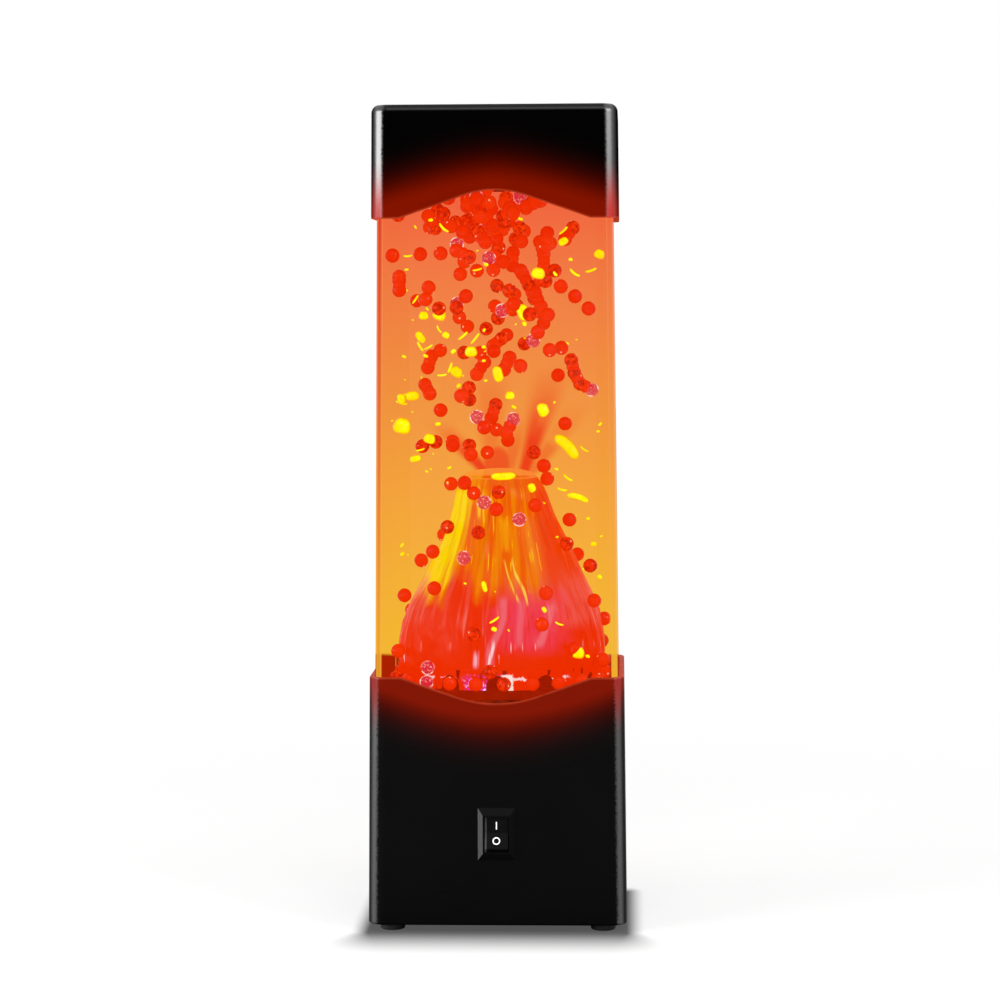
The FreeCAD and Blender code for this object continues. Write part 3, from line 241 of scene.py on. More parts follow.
# %% Start and close a material, and dress parts in it
def start(name):
    """A new material, and Object coordinates as a vector and as x, y and z."""
    material = bpy.data.materials.new(name)
    material.use_nodes = True
    material.node_tree.nodes.clear()
    vector = Wire(material.node_tree).add("ShaderNodeTexCoord", out="Object")
    xyz = [vector.add("ShaderNodeSeparateXYZ", links={0: vector}, out=i) for i in range(3)]
    return material, vector, *xyz


def close(material, shader):
    """Joins the finished shader to the material's output."""
    node = material.node_tree.nodes.new("ShaderNodeOutputMaterial")
    material.node_tree.links.new(shader.socket, node.inputs["Surface"])
    return material


def dress(material, *names):
    """Gives CAD nodes that one material."""
    for name in names:
        slots = nodes[name].data.materials
        slots.clear()
        slots.append(material)
    print(f"{material.name}: {', '.join(names)}")

# %% [markdown]
# ## Black plastic with an eroded skin
#
# The base and the cap are moulded in black plastic. The mould was spark eroded, which
# leaves a fine sandy skin: at the rounded corners it breaks the edge of a lamp's reflection
# into specks. Fine noise drives a shallow bump for the sand, and slower noise shifts the
# roughness a little. Beside each rim the tank's glow is painted onto the plastic as a dark
# red emission. It is strongest at the rim and fades over about 20 mm with the distance from
# the wave. It is pinker at the corners, and a painted pale highlight runs along the rim.

# %% The wave and its glow
def wave_height(x, depth):
    """How far the wave has risen at x: a straight slope in from the span's end, rounded
    over the middle by taking off a parabola that meets the slope smoothly."""
    across = abs(x)
    slope_line = ((wave_half_span - across) * wave_slope).most(0.0)
    touch = 2 * (wave_half_span - depth / wave_slope)
    rounding = (touch - across).most(0.0) ** 2.0
    return slope_line - rounding * (wave_slope / (2 * touch))


def rim_glow(x, from_rim, start_height, bend, power, reach, sharpness):
    """Full up to an arch, then exp(-(distance/reach)^sharpness). The arch is start_height over
    the rim at the middle and falls off towards the corners as bend times |x in mm|^power."""
    arch = abs(x / mm) ** power * (bend * mm)
    falling = ((from_rim - start_height + arch) / reach).most(0.0) ** sharpness * -1.0
    return falling.maths("EXPONENT", falling)


def depth_inside(x, y, z, low, high):
    """How far a point lies inside the drafted outer faces, across and then along: the half
    size at its height, less the size of x or y."""
    lean = (z - low.z) * draft
    return high.x - lean - abs(x), high.y - lean - abs(y)

# %% The eroded plastic
def eroded_plastic(name, part, tone, shine, band, uneven, polish, edge=0.22, rim=None, side=0,
                   wave=0.0, glow=(), painted_corner_glow=None):
    """Black plastic, dull on its faces and polished along its rounded corners, between a
    band's four distances in mm inside the side faces, and by edge along the top. With a rim it
    gets a painted glow near it and a painted pale highlight along it; side is -1 below the rim
    and 1 above it, and painted_corner_glow is the colour of the painted glow at the corners."""
    material, vector, x, y, z = start(name)
    low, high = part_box(part)
    sand = vector.noise(0.45 * mm, 3.0, 0.7)
    grain = vector.noise(0.8 * mm, 2.0, 0.7)
    drift = vector.noise(24 * mm)
    in_x, in_y = depth_inside(x, y, z, low, high)
    begins, full, fades, ends = [distance * mm for distance in band]
    corner = (in_x + (grain - 0.5) * uneven * mm).step(ends, fades) * in_x.step(begins, full)
    corner = corner * in_y.step(0.1 * mm, 0.7 * mm) * in_y.step(5.5 * mm, 2.5 * mm)
    edge_light = z.step(high.z - 3.0 * mm, high.z - 1.2 * mm) * edge
    coat = (corner * (0.62 + grain * 0.8) * polish).most(edge_light).least(1.0)
    face = drift.blend(colour(*[c * 0.7 for c in tone]), colour(*tone))
    painted_glow = None
    if rim is not None:
        from_rim = (z - rim) * side
        from_wave = from_rim - wave_height(x, wave)
        near = from_wave.step(24 * mm, 1 * mm) * corner
        patches = vector.noise(9 * mm)
        strength = rim_glow(x, from_rim, *glow) * (0.95 + patches * 0.1)
        # Painted glow: a dark red emission that fades from the rim, pinker at the corners.
        painted_glow = near.blend(strength.over(colour(0, 0, 0), 130, 20, 0), painted_corner_glow)
        # A painted pale highlight along the rim; under the painted glow the plastic's own colour
        # goes to black.
        painted_glow = (from_wave.step(0.9 * mm, 0.1 * mm) * 0.8 * patches).over(painted_glow, 226, 84, 52)
        face = from_wave.step(22 * mm, 8 * mm).over(face, 0, 0, 0)
        coat = coat * (1 - near * 0.85)
    return close(material, vector.finish(
        face, 0.36 + drift * 0.08 + sand * 0.12, shine, painted_glow, Coat_Weight=coat,
        Coat_Roughness=0.32, Coat_IOR=1.8, Normal=sand.bump(0.03 * mm)))

# %% Dress the shells
base_tone, cap_tone = (6, 6, 6), (2, 2, 2)
base_glow = (14.7 * mm, 0.0143, 1.74, 6.6 * mm, 1.4)
cap_glow = (13.9 * mm, 0.0343, 1.5, 7.8 * mm, 1.65)
base_band, cap_band = (0.5, 2.4, 2.7, 4.3), (0.2, 3.0, 4.3, 6.1)
# The last colour given to each shell is its painted glow at the corners.
dress(eroded_plastic("base_plastic", "base_shell", base_tone, 0.018, base_band, 2.5, 0.80, 0.0,
                     base_rim, -1, base_wave_depth, base_glow, colour(162, 30, 22)),
      "base_shell")
dress(eroded_plastic("cap_plastic", "top_cap", cap_tone, 0.0, cap_band, 6.0, 1.05, 0.22,
                     cap_rim, 1, cap_wave_rise, cap_glow, colour(196, 32, 24)), "top_cap")
dress(eroded_plastic("cover_plastic", "bottom_cover", base_tone, 0.06, base_band, 2.5, 0.80),
      "bottom_cover", "battery_box", "battery_door")

# %% [markdown]
# ## Switch, feet, seals and the parts inside
#
# Every part has a finish, hidden or not, since the lamp may be opened. They differ mainly
# in colour, roughness and what the surface is made of, so one function covers the
# plastics and rubbers, and another the metals, whose fine brushed lines are noise that is
# stretched along one axis.

# %% Plain moulded plastic, rubber and metal
def darker(tone, share):
    """A linear colour times that share."""
    return (*[c * share for c in tone[:3]], 1.0)


def moulded(name, tone, rough, grain=0.4, depth=0.006, shine=0.5, left=None, strip=-1.0):
    """Moulded plastic or rubber: the tone drifts a little and a fine grain, with its size and
    depth in mm, breaks the gloss. Faces that look left, and what lies left of the strip's x,
    may have a paler tone, a painted highlight as if lit by the lamp on the left."""
    material, vector, x, y, z = start(name)
    grains = vector.noise(grain * mm, 3.0, 0.6)
    face = vector.noise(6 * mm, 3.0).blend(darker(tone, 0.88), tone)
    if left:
        normal = vector.add("ShaderNodeTexCoord", out="Normal")
        leftward = vector.add("ShaderNodeSeparateXYZ", links={0: normal}) * -1.0
        # Painted highlight: faces towards the left lamp, and a strip at the left edge, take the
        # paler left colour.
        face = leftward.step(0.35, 0.60).most(x.step(strip, strip - 0.2 * mm)).blend(face, left)
    return close(material, vector.finish(face, rough - 0.05 + grains * 0.1, shine,
                                         Normal=grains.bump(depth * mm)))


def metal(name, tone, rough, lines):
    """Bare metal with drawn lines: noise is squeezed along one axis so it turns to streaks."""
    material, vector = start(name)[:2]
    stretched = vector.add("ShaderNodeVectorMath", {"operation": "MULTIPLY"},
                           {0: vector, 1: lines})
    lines = stretched.noise(0.25 * mm, 4.0, 0.7)
    return close(material, vector.finish(
        vector.noise(5 * mm).blend(darker(tone, 0.8), tone), rough + lines * 0.15, Metallic=1.0,
        Normal=lines.bump(0.004 * mm)))

# %% [markdown]
# The switch snaps into the front. Its left bevel and the rocker's left edge are painted paler, as
# a highlight from the lamp on the left.
# The marks are raised pads, and white paint covers only a fine bar and ring on them.

# %% Dress the switch
def mark_material():
    """White paint as a fine bar and a fine ring. The ring lies on the leaning half of the
    rocker, so heights are divided by the cosine of its lean."""
    material, vector, x, y, z = start("mark_paint")
    low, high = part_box("rocker_marks")
    above_ring = z - (low.z + 1.56 * mm)
    radius = (x * x + (above_ring / 0.92) ** 2.0) ** 0.5
    ring = (radius - 1.3 * mm).band(0.23 * mm, 0.18 * mm)
    bar = x.band(0.23 * mm, 0.18 * mm) * above_ring.step(3.0 * mm, 3.2 * mm)
    bar = bar * z.step(high.z - 0.5 * mm, high.z - 0.6 * mm)
    grains = vector.noise(0.4 * mm, 3.0, 0.6)
    return close(material, vector.finish(
        ring.most(bar).blend(colour(7, 7, 7), colour(246, 246, 244)), 0.45 + grains * 0.1, 0.05,
        Normal=grains.bump(0.003 * mm)))


# left: the colour of the painted highlight on the left bevel and the rocker's left edge.
dress(moulded("switch_plastic", colour(6, 6, 6), 0.36, shine=0.025, left=colour(66, 66, 66)),
      "switch_housing")
dress(moulded("rocker_plastic", colour(7, 7, 7), 0.36, shine=0.03, left=colour(58, 58, 58),
              strip=-3.8 * mm), "switch_rocker")
dress(mark_material(), "rocker_marks")

# %% Dress the rubber, the plastic and the metal
# name, tone, roughness, grain's size and depth in mm, parts
plastics = (
    ("foot_rubber", (20, 20, 20), 0.72, 0.7, 0.03, "feet"),
    ("seal_rubber", (52, 50, 48), 0.65, 0.6, 0.02, "tank_gasket"),
    ("plug_rubber", (38, 38, 40), 0.60, 0.6, 0.02, "filler_plug"),
    ("inlet_plastic", (15, 15, 16), 0.38, 0.4, 0.006, "dc_inlet"),
    ("inner_plastic", (190, 188, 182), 0.45, 0.4, 0.006, "drive_plate"),
    ("rotor_plastic", (232, 232, 228), 0.40, 0.4, 0.006, "drive_rotor", "impeller",
     "axle_retainer"),
    ("red_sleeve", (176, 26, 22), 0.42, 0.4, 0.006, "supply_wires"),
    ("blue_sleeve", (28, 62, 148), 0.42, 0.4, 0.006, "motor_wires"),
)
# name, tone, roughness, how far noise is squeezed along x and z, parts
metals = (
    ("screw_steel", (178, 180, 184), 0.28, 0.1, 1.0, "cover_screws", "battery_box_screws",
     "drive_plate_screws", "motor_screws"),
    ("contact_steel", (196, 198, 200), 0.22, 0.1, 1.0, "battery_contacts"),
    ("shaft_steel", (188, 190, 194), 0.18, 1.0, 0.08, "motor_shaft", "impeller_axle"),
    ("motor_steel", (150, 152, 156), 0.32, 1.0, 0.1, "motor"),
    ("nut_steel", (186, 188, 190), 0.25, 0.1, 1.0, "dc_inlet_nut"),
    ("terminal_brass", (206, 170, 94), 0.26, 0.1, 1.0, "switch_terminals", "dc_inlet_pin"),
    ("magnet_nickel", (200, 198, 190), 0.16, 0.1, 1.0, "drive_magnets", "impeller_magnets"),
    ("cell_can", (162, 164, 168), 0.30, 0.1, 1.0, "battery_cells"),
)
for name, tone, rough, grain, depth, *parts in plastics:
    dress(moulded(name, colour(*tone), rough, grain, depth), *parts)
for name, tone, rough, along_x, along_z, *parts in metals:
    dress(metal(name, colour(*tone), rough, (along_x, 1.0, along_z)), *parts)

# %% [markdown]
# ## Things that give light
#
# Nothing here relies on a lamp inside the model. Each part that glows carries its own
# light as emission, at the brightness and colour it has in the picture, so it looks right
# whatever light it later stands in. The board is green with a pattern of copper tracks, and
# the light-emitting diodes on it are amber, hottest over each lens.

# %% The board and its diodes
def board_material():
    """Green lacquer over tracks: narrow bands where the cells of a random pattern meet."""
    material, vector = start("board_lacquer")[:2]
    cells = vector.add("ShaderNodeTexVoronoi", {"feature": "DISTANCE_TO_EDGE"},
                       {"Vector": vector, "Scale": 1 / (6 * mm)})
    track = cells.step(0.10, 0.05)
    return close(material, vector.finish(track.blend(colour(12, 78, 38), colour(34, 122, 64)), 0.3,
                                         Normal=track.bump(0.03 * mm)))


def diode_material():
    """Amber glow that is hottest over each lens and dies towards the white case."""
    material, vector, x, y, z = start("diode_amber")
    high = z.step(deck_low.z - 6.4 * mm, deck_low.z - 5.0 * mm)
    amber = high.blend(colour(255, 150, 40), colour(255, 205, 110))
    return close(material, vector.finish((236, 214, 170), 0.35, glow=amber, Emission_Strength=2.0))


dress(board_material(), "led_board")
dress(diode_material(), "leds")

# %% [markdown]
# ## The lit film behind the water
#
# A frosted film stands at the back of the tank and spreads the glow. From the front it is
# all the background that the beads float against: a red orange under the cap, pale
# orange in the middle and amber by the volcano's foot. Height chooses the colour on a
# ramp. Over the crater the stream of water throws soft red plumes on it. They are five
# rays from a table, which fan out from the crater, and cloudy noise breaks them up.

# %% The film's glow
glow_top = cap_rim + cap_wave_rise
film_tones = ((0.00, (243, 183, 48)), (0.13, (243, 178, 53)), (0.34, (243, 164, 59)),
              (0.56, (240, 146, 62)), (0.77, (240, 127, 66)), (0.90, (240, 113, 64)),
              (1.00, (240, 98, 62)))
# start in mm, how it leans and curls across with height, strength, top in mm
plume_rays = ((-6.0, -0.95, 0.0, 1.00, 26), (-4.5, -0.02, 0.0, 0.45, 60),
              (2.0, 0.20, 0.0, 0.60, 32), (8.5, 0.32, -0.0010, 1.00, 52),
              (11.0, 0.80, -0.0040, 0.55, 34))


def glow_by_height(z):
    """The film's colour at a height: red orange at the cap, amber at the foot."""
    level = (z - film_low.z) / (glow_top - film_low.z)
    stops = [(place, colour(*tone)) for place, tone in film_tones]
    return z.add("ShaderNodeValToRGB", {"stops": stops}, {0: level})


def plumes(vector, x, y, z):
    """Soft rays above the crater. A ray's middle stands at start + lean * h + curl * h * h for
    the height h in mm; it widens as it rises, fades before its top, and cloudy noise
    breaks it up. A puff is an oval over the crater's mouth."""
    x, h = x / mm, (z - cone_high.z) / mm + 2.0
    rays = 0.0
    for begin, lean, curl, strength, top in plume_rays:
        away = abs(x - (begin + h * lean + h * h * curl)) / (3.6 + h * 0.12)
        ray = away.step(1.3, 0.2) * h.step(top, top * 0.25) * strength
        rays = ray.most(rays)
    puff = ((x + 2.5) ** 2 * 0.016 + (h - 5) ** 2 * 0.011).step(1.0, 0.25) * 0.85
    upright = y + (z - film_low.z) * draft
    front = upright.step(film_high.y - 0.2 * mm, film_high.y - 0.4 * mm)
    cloud = vector.noise(14 * mm, 1.0).step(0.16, 0.44)
    return (rays * cloud).most(puff) * h.step(-1.0, 2.0) * front


def film_material():
    """Emission by height, with faint mottling and plumes that fan out above the crater."""
    material, vector, x, y, z = start("lit_film")
    glow = glow_by_height(z + (vector.noise(30 * mm) - 0.5) * 9 * mm)
    glow = plumes(vector, x, y, z).over(glow, 236, 60, 14)
    return close(material, vector.finish((16, 9, 5), 0.6, 0.1, glow,
                                         Normal=vector.noise(0.5 * mm).bump(0.02 * mm)))


dress(film_material(), "backing_film")

# %% [markdown]
# ## Clear plastic
#
# The tank's walls are clear. Light that meets a clear wall at a low angle from inside is thrown
# back, so a wall seen edge on shows the glow of the film instead of the room behind it, and
# the thick corners gather it like the bright edge of an acrylic ruler. Refraction in nested
# shells is slow and noisy, so the walls let light straight through, and a veil of the glow
# is mixed over them by one factor: full at a low angle (Layer Weight), a little on the
# sides, and nearly full in the corner columns, which are redder.

# %% Clear walls with lit corners
tank_wall = 2.6 * mm
film_front = 36 * mm


def veil(share, look):
    """A see-through surface under that share of an opaque look."""
    open_air = share.add("ShaderNodeBsdfTransparent", links={"Color": colour(255, 255, 255)})
    return share.add("ShaderNodeMixShader", links={0: share, 1: open_air, 2: look})


def foot_shadow(y, z):
    """1 low on the walls, where they mirror the dark of the base: higher up in front."""
    return (z - base_rim + (y - film_low.y) * 0.12).step(1.2 * mm, -0.4 * mm)


def tank_material():
    """The deeper of a point's two distances inside the tank's faces tells the corner column;
    a thin painted highlight line marks where the column meets the flat walls, and low on the
    walls a painted dark red stands for the dark of the base. On the back wall, the strip under
    the film is veiled too, in that painted dark red."""
    material, vector, x, y, z = start("clear_tank")
    in_x, in_y = depth_inside(x, y, z, tank_low, tank_high)
    column = in_x.most(in_y)
    strip = column.step(tank_wall + 0.3 * mm, tank_wall - 0.1 * mm)
    outer = (column + x.step(0, 20 * mm) * 1.0 * mm).step(2.6 * mm, 1.5 * mm)
    # A painted highlight line where the corner column meets the flat walls.
    line = (1 - abs(column - tank_wall).step(0.10 * mm, 0.35 * mm)) * y.step(2 * mm, -2 * mm)
    shadow = foot_shadow(y, z)
    level = ((z - base_rim) / (cap_rim - base_rim)).most(0.0)
    glow = glow_by_height(z)
    glow = outer.blend(glow, (0.25 + level * 0.7).over(glow, 218, 54, 36))
    glow = (line * 0.15).over(glow, 255, 190, 120)
    # Painted dark red low on the walls, for the base's dark mirrored in them.
    glow = (shadow * (1 - strip * 0.9)).over(glow, 180, 42, 6)
    gloss = vector.finish((14, 6, 3), 0.3, 0.0, glow, Coat_Roughness=0.08,
                          Coat_Weight=column.step(4 * mm, 9 * mm) * 0.25)
    side = in_x.step(3.4 * mm, 2.9 * mm) * 0.14
    under_film = shadow * y.step(film_front, film_front + 1 * mm) * 0.7
    share = vector.edge_on().most(strip * 0.92).most(line * 0.8).most(side).most(under_film)
    return close(material, veil(share, gloss))


dress(tank_material(), "water_tank", "tank_floor")

# %% Smoky clear plastic under the volcano
def smoke_material():
    """Clear plastic that glows dark red, as the base's light comes up through it."""
    material, vector = start("smoke_clear")[:2]
    patches = vector.noise(7 * mm, 3.0)
    wall = vector.finish((30, 4, 1), 0.4, 0.0,
                         patches.blend(colour(128, 16, 0), colour(176, 34, 2)))
    return close(material, veil(0.75 + patches * 0.2, wall))


dress(smoke_material(), "pump_deck", "jet_nozzle")

# %% [markdown]
# ## Surfaces from arrays
#
# The new pieces are grids: a shape is worked out as a whole array of points, row by row,
# and the faces between rows are the same few numbers shifted along. `end_fans` closes a grid
# with a point at each end, so nothing is left open, and `put_mesh` hands the arrays to
# Blender in one go and ties the piece to the lamp.

# %% Grids into meshes
def grid_quads(rows, columns):
    """Corner numbers of the faces between neighbouring rows; the last column joins the first."""
    r, c = np.meshgrid(np.arange(rows - 1), np.arange(columns), indexing="ij")
    here = r * columns + c
    beside = r * columns + (c + 1) % columns
    return np.stack([here, beside, beside + columns, here + columns], -1).reshape(-1, 4)


def end_fans(rows, columns):
    """Triangles from a pole to the first row, and from the last row to the other pole. The
    poles are the two points after the grid's."""
    c = np.arange(columns)
    following = (c + 1) % columns
    last = (rows - 1) * columns
    poles = np.full((2, columns), rows * columns) + [[0], [1]]
    return np.concatenate([np.stack([poles[0], following, c], -1),
                           np.stack([poles[1], last + c, last + following], -1)])


def repeated(count, points, quads, triangles):
    """The same faces for each copy, with the corner numbers moved on by one copy's points."""
    shift = (np.arange(count) * points)[:, None, None]
    return (quads[None] + shift).reshape(-1, 4), (triangles[None] + shift).reshape(-1, 3)


def put_mesh(name, points, quads, triangles, material, slot, replaced, **carries):
    """Makes the object at the origin, smooth, with what its points carry. It rides the lamp
    and stands for the CAD node that it replaces."""
    mesh = bpy.data.meshes.new(name)
    faces = quads.tolist() + triangles.tolist()
    mesh.from_pydata(points.tolist(), [], faces)
    mesh.polygons.foreach_set("use_smooth", np.ones(len(faces), bool))
    for key, values in carries.items():
        mesh.attributes.new(key, "FLOAT", "POINT").data.foreach_set(
            "value", values.astype(np.float32))
    mesh.validate()
    mesh.materials.append(material)
    piece = bpy.data.objects.new(name, mesh)
    scene.collection.objects.link(piece)
    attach(piece, "lamp")
    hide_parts(replaced)
    print(f"{name}: {len(points)} points, {len(faces)} faces")

# %% Smooth steps, curves and random streaks
def smooth_step(t):
    """3t^2 - 2t^3, held to 0 and 1 outside."""
    t = np.clip(t, 0, 1)
    return t * t * (3 - 2 * t)


def eased_curve(levels, values, at):
    """A cubic through the points whose slope at each is the mean of the slopes beside it."""
    steps = np.diff(values) / np.diff(levels)
    slopes = np.concatenate([steps[:1], (steps[1:] + steps[:-1]) / 2, steps[-1:]])
    i = np.clip(np.searchsorted(levels, at) - 1, 0, len(levels) - 2)
    width = levels[i + 1] - levels[i]
    t = (at - levels[i]) / width
    rise = values[i + 1] - values[i]
    bend = slopes[i] * width - rise, -slopes[i + 1] * width + rise
    return values[i] + t * rise + t * (1 - t) * ((1 - t) * bend[0] + t * bend[1])


def streaks(turn, level, lobes, rows, seed):
    """Random values on a net of lobes round the axis by rows up it, eased between net
    points, and periodic round the axis. turn is 0 to 1 round it, level 0 to 1 up it."""
    table = np.random.default_rng(seed).random((rows + 1, lobes))
    u = (turn % 1) * lobes
    v = np.clip(level, 0, 1) * rows * 0.9999
    i, j = np.floor(u).astype(int), np.floor(v).astype(int)
    du, dv = smooth_step(u - i), smooth_step(v - j)
    low = table[j, i % lobes] * (1 - du) + table[j, (i + 1) % lobes] * du
    high = table[j + 1, i % lobes] * (1 - du) + table[j + 1, (i + 1) % lobes] * du
    return low * (1 - dv) + high * dv

# %% [markdown]
# ## The volcano
#
# It is one moulding of clear red plastic: an upright skirt at the foot, flanks that draw in
# to a rounded shoulder and lava that has run down them and set in ridges. A lathe can't
# make it, because it is an oval and every ridge wanders. Instead the half width and
# half depth are read from a curve by height, and the ridges are cosines round the axis
# whose phase and depth drift by smooth random streaks. A rounded lip leads over into the
# inner wall, so the crater is a real hole with a real thickness.

# %% The volcano's outline
cone_levels = np.array([0.0, 6.0, 20.5, 39.0, 60.0, 73.0, 77.0]) * mm
cone_draw_x = np.array([0.0, -0.2, 2.9, 12.3, 21.5, 24.6, 26.7]) * mm
cone_draw_y = np.array([0.0, -0.1, 1.9, 7.5, 12.9, 15.0, 16.6]) * mm
swell_levels = np.array([0.0, 20.0, 47.0, 65.0, 77.0]) * mm
swell_amounts = np.array([1.0, 2.2, 4.2, 2.4, 0.0]) * mm
cone_wall = 1.6 * mm
cone_height = cone_high.z - cone_low.z


def cone_half(height):
    """Half width and half depth of the flank at a height above its bottom."""
    return (foot_high.x - eased_curve(cone_levels, cone_draw_x, height),
            foot_high.y - eased_curve(cone_levels, cone_draw_y, height))


def right_swell(height, across):
    """How far the right flank stands out over the oval: a curve of height times an eased
    share of how much a point faces right (its cosine)."""
    return eased_curve(swell_levels, swell_amounts, height) * smooth_step(across / 0.85)


def lava_relief(turn, level):
    """Height of the set lava above the flank, from about -1 to 1: broad ridges, finer runs
    between them, and drips that thicken where they stopped near the foot."""
    wander = (streaks(turn, level, 9, 3, 5) - 0.5) * 0.10
    depth = 0.45 + 0.55 * streaks(turn, level, 13, 4, 8)
    broad = np.cos(2 * np.pi * 17 * (turn + wander)) * depth
    runs = streaks(turn + wander * 0.6, level, 64, 5, 21) - 0.5
    fine = streaks(turn + wander * 0.4, level, 150, 9, 34) - 0.5
    stop = 0.10 + 0.22 * streaks(turn, level * 0, 56, 1, 55)
    drip = np.exp(-((level - stop) / 0.035) ** 2) * (streaks(turn, level * 0, 56, 1, 89) > 0.42)
    return 0.42 * broad + 0.75 * runs + 0.35 * fine + 0.35 * drip

# %% The volcano's flank, lip and inner wall
cone_columns, cone_rows, lip_rows, inner_rows = 420, 150, 7, 26
lip_radius = cone_wall / 2
rear_rise, front_dip = 2.4 * mm, 0.6 * mm
turn = np.arange(cone_columns)[None, :] / cone_columns
angle = 2 * np.pi * turn
level = np.linspace(0, 1, cone_rows)[:, None]
relief = lava_relief(turn + 0 * level, level + 0 * turn)
relief_depth = 0.95 * mm * (0.55 + 0.45 * np.sin(np.pi * np.clip(level * 1.1 + 0.05, 0, 1)))
swell = relief * relief_depth - 0.35 * mm


def oval_rows(half_x, half_y, height, right, lifted):
    """Ovals of those half sizes at a height, moved out on the right, with the rear of the rim
    lifted and its front let down by the share lifted, eased over the depth."""
    points = np.stack([half_x * np.cos(angle) + right, half_y * np.sin(angle),
                       height + 0 * angle], -1)
    back = np.clip(points[:, :, 1] / cone_half(cone_height)[1], -1, 1)
    points[:, :, 2] += lifted * back * np.where(back > 0, rear_rise, front_dip)
    return points


half_x, half_y = cone_half(level * cone_height)
flank = oval_rows(half_x + swell, half_y + swell,
                  cone_low.z + level * (cone_height - lip_radius),
                  right_swell(level * cone_height, np.cos(angle)),
                  smooth_step((level - 0.86) / 0.14))
lip_turn = np.linspace(0, np.pi, lip_rows + 2)[1:-1, None]
lip_out = swell[-1] * (1 + np.cos(lip_turn)) / 2 - lip_radius * (1 - np.cos(lip_turn))
lip = oval_rows(half_x[-1] + lip_out, half_y[-1] + lip_out,
                cone_high.z - lip_radius + lip_radius * np.sin(lip_turn), 0, 1.0)
down = np.linspace(1, 0, inner_rows)[:, None]
half_x, half_y = cone_half(down * cone_height)
inner = oval_rows(half_x - cone_wall, half_y - cone_wall,
                  cone_low.z + down * (cone_height - lip_radius),
                  right_swell(down * cone_height, np.cos(angle)), smooth_step((down - 0.7) / 0.3))
cone_points = np.concatenate([flank, lip, inner])
all_rows = len(cone_points)
last_row = (all_rows - 1) * cone_columns
column = np.arange(cone_columns)
beside = (column + 1) % cone_columns
underside = np.stack([last_row + column, last_row + beside, beside, column], -1)
cone_quads = np.concatenate([grid_quads(all_rows, cone_columns), underside])
cone_relief = np.concatenate([relief, np.zeros((lip_rows + inner_rows, cone_columns))]).ravel()
print(f"volcano relief from {relief.min():.2f} to {relief.max():.2f}")

# %% [markdown]
# ## Lava light on the volcano
#
# The volcano shines from inside. From the front its left flank is a bright yellow, the
# middle orange and the right red, and below the shoulder everything turns to a flat hot
# red with painted highlights: pale pink runs, where wet ridges catch the light, and short
# white glints low on the flank. Angle and height choose the colour. The relief that shaped
# the mesh comes along as an attribute, so its hollows get painted shade. Where the flank is
# seen edge on it gets a painted dark outline, and the lip gets a painted pale line. Fine
# streaks are noise in coordinates that are the angle and a much shortened height. The
# brightest runs come from a table, and the pale, pink and white ones are painted highlights.

# %% The volcano's material
# The pale, pink and white runs in this table are painted highlights of wet ridges.
# x at the low and the high end of the bend, heights of the bend, top, bottom, half width, all
# in mm, then the tone and its strength
lava_runs = (
    (9.5, 2.1, 22, 46, 45, 26, 0.75, (248, 196, 60), 0.85),
    (12.0, 6.0, 24, 46, 46, 25, 0.75, (250, 210, 80), 0.85),
    (8.6, 9.5, 8, 28, 30, 8, 2.0, (236, 106, 120), 0.60),
    (-3.0, 2.2, 6, 22, 31, 0, 2.2, (236, 112, 124), 0.70),
    (16.5, 21.5, 6, 24, 28, 8, 2.3, (236, 118, 124), 0.65),
    (-7.6, -7.9, 50, 75, 75, 59, 1.0, (248, 206, 16), 0.80),
    (-5.2, -5.8, 50, 75, 73, 57, 0.6, (250, 212, 30), 0.80),
    (-1.8, -3.0, 50, 75, 70, 54, 0.6, (248, 196, 24), 0.75),
    (4.0, 3.0, 30, 60, 62, 46, 2.4, (244, 160, 6), 0.70),
    (-8.5, -8.0, 0, 10, 9, 0, 1.5, (250, 180, 190), 0.85),
    (-3.2, -1.6, 0, 13, 13, 0, 0.8, (255, 214, 214), 0.90),
)


def down_the_cone(x, y, height, shortened, third):
    """Coordinates for streaks that run down: the angle round the oval and a short height."""
    angle = x.maths("ARCTAN2", y * 1.3, x)
    return x.add("ShaderNodeCombineXYZ", links={0: angle * 0.04, 1: height * shortened, 2: third})


def lava_upper(x, height, thin, broad, ragged):
    """Gold on the left flank, orange with yellow streaks in the middle, red on the right."""
    left = (height * 0.33 - x - 32.0 + ragged).step(-3, 3)
    right = (height * 0.15 + x - 24 + ragged).step(-3, 3)
    upper = broad.step(0.40, 0.62).blend(colour(237, 90, 0), colour(239, 128, 0))
    gold = broad.step(0.30, 0.60).blend(colour(242, 182, 0), colour(249, 210, 0))
    upper = right.over(left.blend(upper, gold), 236, 60, 0)
    upper = (thin.step(0.64, 0.70) * (1 - right) * (1 - left) * 0.85).over(upper, 252, 196, 12)
    upper = (height.step(70, 73.5) * 0.6).over(upper, 237, 84, 8)
    # A painted pale highlight line along the crater's lip.
    return (height.step(75.8, 76.6) * 0.7).over(upper, 250, 150, 60)


